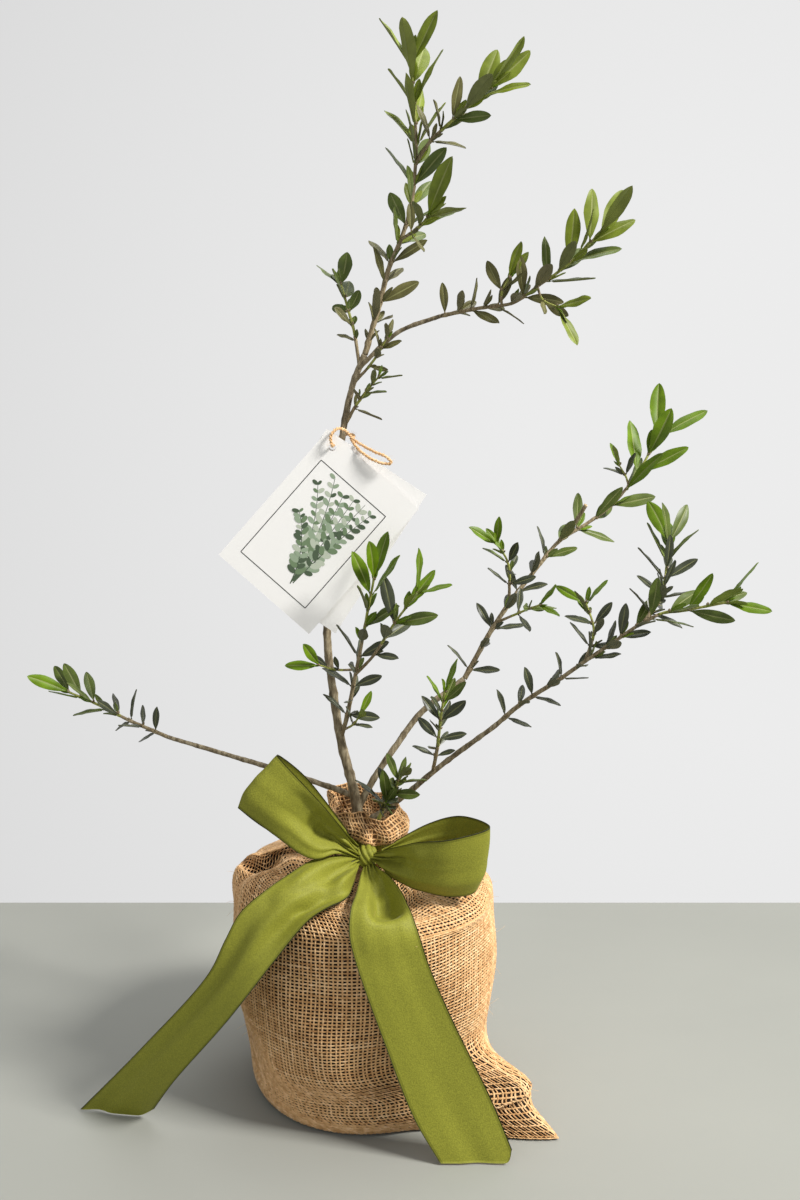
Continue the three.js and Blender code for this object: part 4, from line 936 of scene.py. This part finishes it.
def build_painted_shade_layer(weave):
    """Painted shade: a near-black closed layer behind the weave, with the flat underside, which shows in
    the gaps between threads as the shade inside the sack; above the tie it is dark brown, painted as the
    shade behind the collar's inner threads.
    """
    inner = weave.grid - weave.normal * SHADE_LAYER_DEPTH
    inner[..., 2] = np.maximum(inner[..., 2], SHADE_LAYER_LOW)
    shade_layer = Shape()
    above_tie = np.arange((weave.rows - 1) * weave.columns) >= weave.tie * weave.columns
    shade_layer.add(inner, grid_faces(weave.rows, weave.columns, closed=True), above_tie)
    shade_layer.add(np.vstack([inner[0], [0, 0, SHADE_LAYER_LOW]]), fan_faces(weave.columns))
    make_piece("burlap_shade", shade_layer, [BURLAP_SHADE, BURLAP_INNER_SHADE], ["burlap_sack"])


def build_sack():
    """Builds the sack's pieces. Gives the points of its outer face and the way out at each."""
    chance = np.random.default_rng(21)
    weave = Weave()
    build_warp(weave, chance)
    build_weft(weave, chance)
    build_fuzz(weave, chance)
    build_painted_shade_layer(weave)
    return weave.grid + weave.normal * THREAD_DEPTH, weave.normal


class Cloth:
    """The sack's outer face, which holds other things off it."""

    def __init__(self, points, normals):
        self.points, self.normals = points.reshape(-1, 3), normals.reshape(-1, 3)
        self.tree = KDTree(len(self.points))
        for index, point in enumerate(self.points):
            self.tree.insert(point, index)
        self.tree.balance()

    def clear(self, points, gap):
        """The points, moved out where they lie nearer to the cloth than the gap."""
        flat = points.reshape(-1, 3)
        nearest = [self.tree.find(point)[1] for point in flat]
        normal = self.normals[nearest]
        short = gap - np.sum((flat - self.points[nearest]) * normal, axis=1)
        return (flat + normal * np.maximum(short, 0)[:, None]).reshape(points.shape)


SACK = Cloth(*build_sack())


# The ribbon: each piece lies between an upper and a lower edge, and its middle bulges out or in
RIBBONS = {
    "ribbon_loop_left": (3, [
        (-4.5, -31.5, 155), (-19.6, -54, 186), (-50.8, -62, 223.7), (-36, -44, 206), (-3.8, -26, 157)], [
        (-4.5, -32, 150), (-16, -45, 158), (-31, -54, 158.8), (-52.4, -59.5, 174.6), (-74.3, -62, 191.9),
        (-55, -46, 171), (-3.8, -26.5, 149)]),
    "ribbon_loop_right": (2, [
        (7.5, -31.5, 153.5), (32.2, -57, 169.2), (53, -67, 174.6), (77.5, -57, 178.4), (60.8, -34, 177.6),
        (42, -28, 171.1), (11.8, -26, 154)], [
        (7.5, -32, 148), (20.6, -46, 143), (38.3, -55, 138.5), (55.2, -56, 136), (68.9, -52, 137.3),
        (72, -46, 144), (62, -35, 145), (40, -30, 146), (11.8, -26.5, 149)]),
    "ribbon_tail_left": (-1, [
        (-3.5, -31, 152.5), (-17, -42, 155.5), (-30.5, -50, 156), (-44.5, -62, 151.6), (-58.5, -70, 144.4),
        (-71.2, -74, 134.2), (-79.7, -76, 119), (-90, -74, 98), (-132, -62, 48), (-174, -45, 0.4)], [
        (-3, -31.5, 145), (-3.5, -44, 143.5), (-5.5, -58, 142), (-9, -68, 140), (-18, -76, 137.6),
        (-29.4, -81, 132.4), (-49, -87, 112), (-62, -89, 96), (-78, -86, 75), (-110, -72, 34),
        (-130, -51, 0.4)]),
    "ribbon_tail_right": (-1, [
        (1, -30.4, 145.7), (-1, -40, 144), (-3.2, -64, 141.5), (-6, -80, 137.5), (-6.3, -87, 127),
        (-2.8, -89.5, 113), (14, -90, 66), (31, -92, 24), (45.9, -95, 0.4)], [
        (6.8, -30.2, 146.5), (10, -40, 147), (16, -49, 146.5), (24.6, -62, 141.5), (33, -80.5, 128),
        (40, -84, 108), (53, -85, 78), (76, -88, 32), (90, -95, 0.4)]),
}
RIBBON_ROWS, RIBBON_THICKNESS, RIBBON_LOW, CLOTH_ROOM = 120, 0.5, 0.3, 1.0
KNOT_PLACE = np.array([1.8, -27.5, 150])
KNOT_RADII = np.array([6.6, 6.4, 6.8])
BAND_INNER, BAND_OUTER, BAND_WIDTH = 18.8, 20.5, 8

# Places across a ribbon, and the look of each strip between them: dark edge, pale selvedge, satin
OVER = np.concatenate([[0, 0.014, 0.045], np.linspace(0.075, 0.925, 24), [0.955, 0.986, 1]])
STRIPS = np.concatenate([[1, 2], np.zeros(len(OVER) - 5, int), [2, 1]])


# How far each ribbon rises, in millimetres: rows along its run, columns from its upper to its lower edge
RUN_PLACES = np.array([0, 0.05, 0.1, 0.17, 0.22, 0.27, 0.4, 1])
RISES = {
    "ribbon_loop_left": [(0, 0, 0, 0, 0), (0, 0, -5, 0, 0), (0, -5, -11, -2, 0), (0, -9, -12, -1, 1),
                         (0, -8, -9, 0, 1), (0, -5, -5, 0, 1), (0, -1, 0, 1, 0), (0, 0, 0, 0, 0)],
    "ribbon_loop_right": [(0, 0, 0, 0, 0), (0, 1, -5, 2, 0), (1, -2, -6, 2, 2), (1, -1, -1, 2, 1),
                          (0, 2, 1, 2, 1), (0, 1, 1, 2, 0), (0, 0, 0, 1, 0), (0, 0, 0, 0, 0)],
    "ribbon_tail_left": [(0, 0, 0, 0, 0), (0, 2, -2, 3, -2), (0, 3, -3, 4, -4), (0, 5, 1, -5, 0),
                         (0, 3, 3, -6, 2), (0, 0, 3, -3, 2), (0, -2, 2, 1, 0), (0, -1, 1, 1, 0)],
    "ribbon_tail_right": [(0, 0, 0, 0, 0), (0, -2, -5, -3, 0), (0, -3, -11, -9, 0), (0, 0, -15, -14, -1),
                          (0, 2, -11, -12, -1), (0, 3, 3, 2, 0), (0, 1, 1, 0, 0), (0, 0, -1, 0, 0)],
}


def step_of(spots, places):
    """For each spot, the place before it, and an eased share of the way to the next place."""
    index = np.clip(np.searchsorted(places, spots, side="right") - 1, 0, len(places) - 2)
    share = np.clip((spots - places[index]) / (places[index + 1] - places[index]), 0, 1)
    return index, share * share * (3 - 2 * share)


def folds(name, over, share, reach):
    """How far the cloth rises. The folds bow out along the ribbon towards its middle."""
    table = np.array(RISES[name], float)
    i, down = step_of(share - 0.03 * np.sin(math.pi * over), RUN_PLACES)
    j, across = step_of(over, np.linspace(0, 1, table.shape[1]))
    before, after = (mix(table[row, j], table[row, j + 1], across) for row in (i, i + 1))
    near, pinched = np.exp(-reach * share / 16), 0.55
    if "loop" in name:
        near, pinched = near + np.exp(-reach * (1 - share) / 16), 1
    pinch = 2.6 * np.cos(25 * over) + 1.4 * np.sin(41 * over + 1)
    return mix(before, after, down) + near * np.sin(math.pi * over) ** 0.7 * pinch * pinched


def ribbon_sheet(name):
    """A ribbon as a grid of points: rows along its run, columns over it."""
    bulge, upper, lower = RIBBONS[name]
    upper, lower = Route(upper), Route(lower)
    share = np.linspace(0, 1, RIBBON_ROWS + 1)
    start, end = upper.at(share), lower.at(share)
    run = unit(np.gradient((start + end) / 2, axis=0))
    out = unit(np.cross(run, start - end)) * (1 if name == "ribbon_loop_right" else -1)
    over, along_run = np.meshgrid(OVER, share)
    if "tail" in name:
        # the lower corner of a tail's end is rounded off
        along_run = along_run * (1 - 0.045 * smooth(0.76, 1.04, over) ** 3)
    lift = bulge * np.sin(math.pi * along_run) * (1 - (2 * over - 1) ** 2)
    lift = lift + folds(name, over, along_run, (upper.length + lower.length) / 2)
    sheet = mix(upper.at(along_run), lower.at(along_run), over[..., None]) + out[:, None] * lift[..., None]
    sheet = SACK.clear(sheet, CLOTH_ROOM)
    sheet[..., 2] = np.maximum(sheet[..., 2], RIBBON_LOW)
    return sheet


def add_sheet(shape, sheet, thickness, looks):
    """A closed sheet of even thickness round a grid of points, its looks given by column."""
    rows, columns = sheet.shape[:2]
    normal = unit(np.cross(np.gradient(sheet, axis=0), np.gradient(sheet, axis=1))) * thickness / 2
    faces = grid_faces(rows, columns)
    looks = np.tile(looks, rows - 1)
    size = rows * columns
    front = np.concatenate([np.arange(columns), np.arange(2, rows) * columns - 1,
                            np.arange(size - 1, size - columns - 1, -1),
                            np.arange(size - 2 * columns, 0, -columns)])
    back = front + size
    rim = np.stack([front, np.roll(front, -1), np.roll(back, -1), back], 1)
    shape.add(np.vstack([(sheet + normal).reshape(-1, 3), (sheet - normal).reshape(-1, 3)]),
              np.vstack([faces, faces[:, ::-1] + size, rim]),
              np.concatenate([looks, looks, np.full(len(rim), 1)]))


def build_ribbon():
    for name in RIBBONS:
        shape = Shape()
        add_sheet(shape, ribbon_sheet(name), RIBBON_THICKNESS, STRIPS)
        make_piece(name + "_satin", shape, RIBBON, [name])


def build_knot():
    """A squeezed ball of cloth with slanting folds."""
    knot = Shape()
    u, v = np.meshgrid(full_turn(72), np.linspace(-1.5, 1.5, 40))
    ball = np.stack([np.cos(v) * np.cos(u), np.cos(v) * np.sin(u), np.sin(v)], axis=-1)
    ball = np.sign(ball) * np.abs(ball) ** 0.8
    slant = 6.6 * (0.82 * ball[..., 0] + 0.57 * ball[..., 2]) + 0.5 * np.sin(2 * ball[..., 2] + 1)
    fold = 0.84 + 0.22 * np.abs(np.sin(slant)) ** 0.65
    add_tube(knot, KNOT_PLACE + ball * KNOT_RADII * fold[..., None])
    make_piece("ribbon_knot_satin", knot, RIBBON, ["ribbon_knot"])


def build_band():
    """The turn round the neck, gathered into lengthwise folds."""
    band = Shape()
    u, v = np.meshgrid(full_turn(160), full_turn(24))
    high = np.sin(v)
    half = (BAND_OUTER - BAND_INNER) / 2
    gathers = 0.25 * np.cos(v) * np.sin(9 * high + 0.7 * np.sin(3 * u))
    radius = BAND_INNER + half + half * np.cos(v) + gathers
    ring = np.stack([radius * np.cos(u), radius * np.sin(u), NECK_HEIGHT + BAND_WIDTH / 2 * high], axis=-1)
    add_tube(band, np.vstack([ring, ring[:1]]), caps=False)
    make_piece("ribbon_band_satin", band, RIBBON, ["ribbon_band"])


# The care cards: white stock with a thin printed frame and a plain fan of round-leaved stems
CARD_WIDTH, CARD_HEIGHT, CARD_THICKNESS = 78, 108, 0.6
CARD_LEFT, CARD_TOP, HOLE_RADIUS = -9.5, 7, 2.4
CARD_RIGHT, CARD_FOOT = CARD_LEFT + CARD_WIDTH, CARD_TOP - CARD_HEIGHT
HOLE_PLACE = np.array([-20.7, 410.1])
# Each card's depth, how far it hangs below the hole's place, and its turn
CARDS = {"care_card_front": (-12, 0.9, math.radians(-41.3)),
         "care_card_back": (-9, 0, math.radians(-33.3))}
# The stems of the printed sprig: their lean in degrees and their length
STEMS = ((-40, 66), (-30, 78), (-19, 82), (-8, 84), (3, 80), (12, 66), (-52, 48))
STEM_POINTS = 14


class CardFrame:
    """Turns places on a card, in millimetres right and up from its hole, into points in the model."""

    def __init__(self, name):
        self.depth, self.drop, self.turn = CARDS[name]

    def points(self, flat, lift):
        flat = np.asarray(flat, float)
        c, s = math.cos(self.turn), math.sin(self.turn)
        x = HOLE_PLACE[0] + c * flat[..., 0] - s * flat[..., 1]
        z = HOLE_PLACE[1] - self.drop + s * flat[..., 0] + c * flat[..., 1]
        return np.stack([x, self.depth - lift + 0 * x, z], axis=-1)


def card_body(shape, card):
    """The card as a sheet with a round hole: rings of points from the hole out to the four edges."""
    corners = np.array([(CARD_RIGHT, CARD_TOP), (CARD_LEFT, CARD_TOP), (CARD_LEFT, CARD_FOOT),
                        (CARD_RIGHT, CARD_FOOT)], float)
    share = (np.arange(30) / 30)[:, None]
    edge = np.vstack([mix(corners[k], corners[(k + 1) % 4], share) for k in range(4)])
    hole = unit(edge) * HOLE_RADIUS
    half = CARD_THICKNESS / 2
    face = [mix(hole, edge, part) for part in (0, 0.04, 0.15, 0.4, 0.7, 1)]
    rings = [card.points(ring, half) for ring in face] + [card.points(ring, -half) for ring in face[::-1]]
    shape.add(np.vstack(rings + rings[:1]), grid_faces(len(rings) + 1, len(edge), closed=True))


def flat_patch(shape, card, outline, lift, look):
    """A flat printed patch: its outline joined to its middle."""
    points = card.points(np.vstack([outline, np.mean(outline, axis=0)]), lift)
    shape.add(points, fan_faces(len(outline)), look)


def printed_line(shape, card, points, width, lift, look):
    """A printed line of a set width through flat points."""
    points = np.asarray(points, float)
    heading = unit(np.gradient(points, axis=0))
    side = np.stack([-heading[:, 1], heading[:, 0]], axis=-1) * np.reshape(width, (-1, 1)) / 2
    edges = card.points(np.stack([points + side, points - side], axis=1), lift)
    shape.add(edges, grid_faces(len(points), 2), look)


def within(points, low, high):
    """Which flat points lie between two corners."""
    return ((points > low) & (points < high)).all(1)


def round_leaf(place, turn, size):
    """The outline of a printed leaf that leaves its place on a stem at a turn from straight up."""
    u = full_turn(14)
    c, s = math.cos(turn), math.sin(turn)
    blade = np.stack([np.cos(u) * size * 0.34, np.sin(u) * size * 0.6], axis=-1)
    return place + size * 0.62 * np.array([s, c]) + blade @ np.array([[c, -s], [s, c]])


def printed_art(shape, card):
    """A generic sprig: stems that fan up from the frame's right foot, with pairs of round leaves."""
    left, right, low, high = CARD_LEFT + 9.5, CARD_RIGHT - 13, CARD_FOOT + 11, CARD_TOP - 18
    face = CARD_THICKNESS / 2
    for a, b in (((left, low), (right, low)), ((left, high), (right, high)),
                 ((left, low), (left, high)), ((right, low), (right, high))):
        printed_line(shape, card, np.linspace(a, b, 2), 0.6, face + 0.05, 1)
    chance = np.random.default_rng(9)
    foot = np.array([right - 17, low + 2])
    t = np.linspace(0, 1, STEM_POINTS)
    for stem, (lean, length) in enumerate(STEMS):
        angle = np.radians(lean * (0.25 + 0.75 * t))
        step = np.stack([np.sin(angle), np.cos(angle)], axis=-1) * length / (STEM_POINTS - 1)
        line = foot + np.cumsum(step, axis=0)
        line = line[within(line, (left + 2, low + 1), (right - 2, high - 3))]
        lift = face + 0.06 + 0.012 * stem
        printed_line(shape, card, line, np.linspace(0.7, 0.3, len(line)), lift, 2)
        for k in range(2, len(line)):
            for side in (-1, 1):
                turn = math.radians(math.degrees(angle[k]) + side * chance.uniform(42, 66))
                leaf = round_leaf(line[k], turn, chance.uniform(4.4, 7.0) * (1.1 - 0.5 * t[k]))
                if within(leaf, (left + 1, low + 1), (right - 1, high - 1)).all():
                    flat_patch(shape, card, leaf, lift + 0.004 * k, int(chance.choice([2, 3, 4, 5])))


def build_cards():
    for name in CARDS:
        card = CardFrame(name)
        shape = Shape()
        card_body(shape, card)
        if name == "care_card_front":
            printed_art(shape, card)
        make_piece(name + "_stock", shape, CARD, [name], angle=30)


# The twine: two strands turned round each other, through both cards' holes and round the trunk
TWINE_RUNS = [
    [(-20.7, -16, 410.1), (-20.7, -10.5, 410.1), (-20.6, -4.5, 410.6), (-18.6, 1.5, 413.2),
     (-17.2, 6, 416.5), (-13, 9.1, 418), (-8.6, 7, 417.8), (-7.4, 2.6, 416.5), (-9, -0.6, 415.2)],
    [(-20.7, -15.6, 409.8), (-21.6, -15.6, 416), (-18, -13.4, 421), (-13, -6, 420.5),
     (-9.4, -0.4, 416.5)],
    [(-9.4, -1, 415.6), (-4, -8, 412), (6, -15.5, 406.5), (15, -17.5, 402.5), (17.4, -18, 399),
     (13, -17.5, 398.6), (4, -16, 402), (-4, -13, 408), (-9, -2, 414.6)],
]
STRAND_RADIUS, STRAND_OFFSET, STRAND_PITCH = 0.56, 0.52, 4.6


def build_twine():
    chance = np.random.default_rng(17)
    shape = Shape()
    for points in TWINE_RUNS:
        route = Route(points)
        share = np.linspace(0, 1, int(route.length / 0.45))
        centre = route.at(share)
        side, back = sides_of(centre)
        spin = share * route.length * 2 * math.pi / STRAND_PITCH
        for half in (0, math.pi):
            turn = (spin + half)[:, None]
            strand = centre + STRAND_OFFSET * (side * np.cos(turn) + back * np.sin(turn))
            uneven = 1 + 0.14 * np.sin(share * 43 + half) + 0.1 * np.sin(share * 101)
            add_tube(shape, tube_rings(strand, STRAND_RADIUS * uneven, 8))
        for _ in range(int(route.length * 0.9)):
            root = route.at(chance.uniform(0, 1))
            way = unit(chance.normal(size=3)) * chance.uniform(1.6, 3.6)
            add_hair(shape, root, way, unit(chance.normal(size=3)))
    make_piece("twine_strands", shape, [BURLAP[0]], ["twine"])


def dress_pot():
    for name, material in (("nursery_pot", POT), ("soil", SOIL)):
        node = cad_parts[name]
        node.data.materials.clear()
        node.data.materials.append(material)


build_ribbon()
build_knot()
build_band()
build_cards()
build_twine()
dress_pot()


# Studio: a pale floor, soft light with its key from the right, and the photograph's level camera.
# Its lengths are metres. Each lamp has a place, a size, a power and a colour.
LAMPS = {"key": ((2.6, -1.16, 2.7), 0.8, 226, (1, 0.975, 0.93)),
         "fill": ((-1.0, -1.5, 0.9), 1.2, 4, (0.96, 0.98, 1)),
         "top": ((0.3, 0.3, 1.8), 1.0, 9, (1, 1, 1))}
LAMP_AIM = Vector((0, 0, 0.3))
ROOM_GREYS = ((0.1, 0.46), (0.97, 0.84))


def link_object(name, data, place):
    """A new lamp or camera in the scene."""
    item = bpy.data.objects.new(name, data)
    item.location = place
    bpy.context.scene.collection.objects.link(item)
    return item


def build_floor():
    stone = Look("studio_floor", (0.28, 0.285, 0.26), 0.8)
    stone.paint(stone.noise(4, 6.0), [(0.3, (0.25, 0.257, 0.235)), (0.7, (0.31, 0.315, 0.287))])
    bpy.ops.mesh.primitive_plane_add(size=1)
    floor = bpy.context.object
    floor.name = "studio_floor"
    floor.scale = (3.4, 2.06, 1)
    floor.location = (0, -0.77, -0.0008)
    floor.data.materials.append(stone.material)


def build_room():
    """A white wall behind the plant, dimmer towards the left and the front."""
    world = bpy.data.worlds.new("pale_room")
    world.use_nodes = True
    nodes, links = world.node_tree.nodes, world.node_tree.links
    way = nodes.new("ShaderNodeTexCoord").outputs["Generated"]
    facing = nodes.new("ShaderNodeVectorMath")
    facing.operation = "DOT_PRODUCT"
    facing.inputs[1].default_value = (0.36, 0.93, 0)
    wall = nodes.new("ShaderNodeValToRGB")
    for element, (place, grey) in zip(wall.color_ramp.elements, ROOM_GREYS):
        element.position = place
        element.color = (grey, grey, grey, 1)
    links.new(way, facing.inputs[0])
    links.new(facing.outputs["Value"], wall.inputs["Fac"])
    links.new(wall.outputs["Color"], nodes["Background"].inputs["Color"])
    nodes["Background"].inputs["Strength"].default_value = 1.0
    bpy.context.scene.world = world
    bpy.context.scene.view_settings.view_transform = "Standard"


def build_studio():
    build_floor()
    for name, (place, size, power, color) in LAMPS.items():
        lamp = bpy.data.lights.new(name, "AREA")
        lamp.size = size
        lamp.energy = power
        lamp.color = color
        holder = link_object(name, lamp, place)
        holder.rotation_euler = (LAMP_AIM - holder.location).to_track_quat("-Z", "Y").to_euler()
    build_room()
    camera = link_object("camera", bpy.data.cameras.new("camera"), (0.0231, -0.693, 0.401))
    camera.data.lens = 31.5
    camera.data.sensor_width = 36
    camera.data.shift_y = -0.1167
    camera.data.clip_start = 0.02
    camera.rotation_euler = (math.pi / 2, 0, 0)
    bpy.context.scene.camera = camera


build_studio()
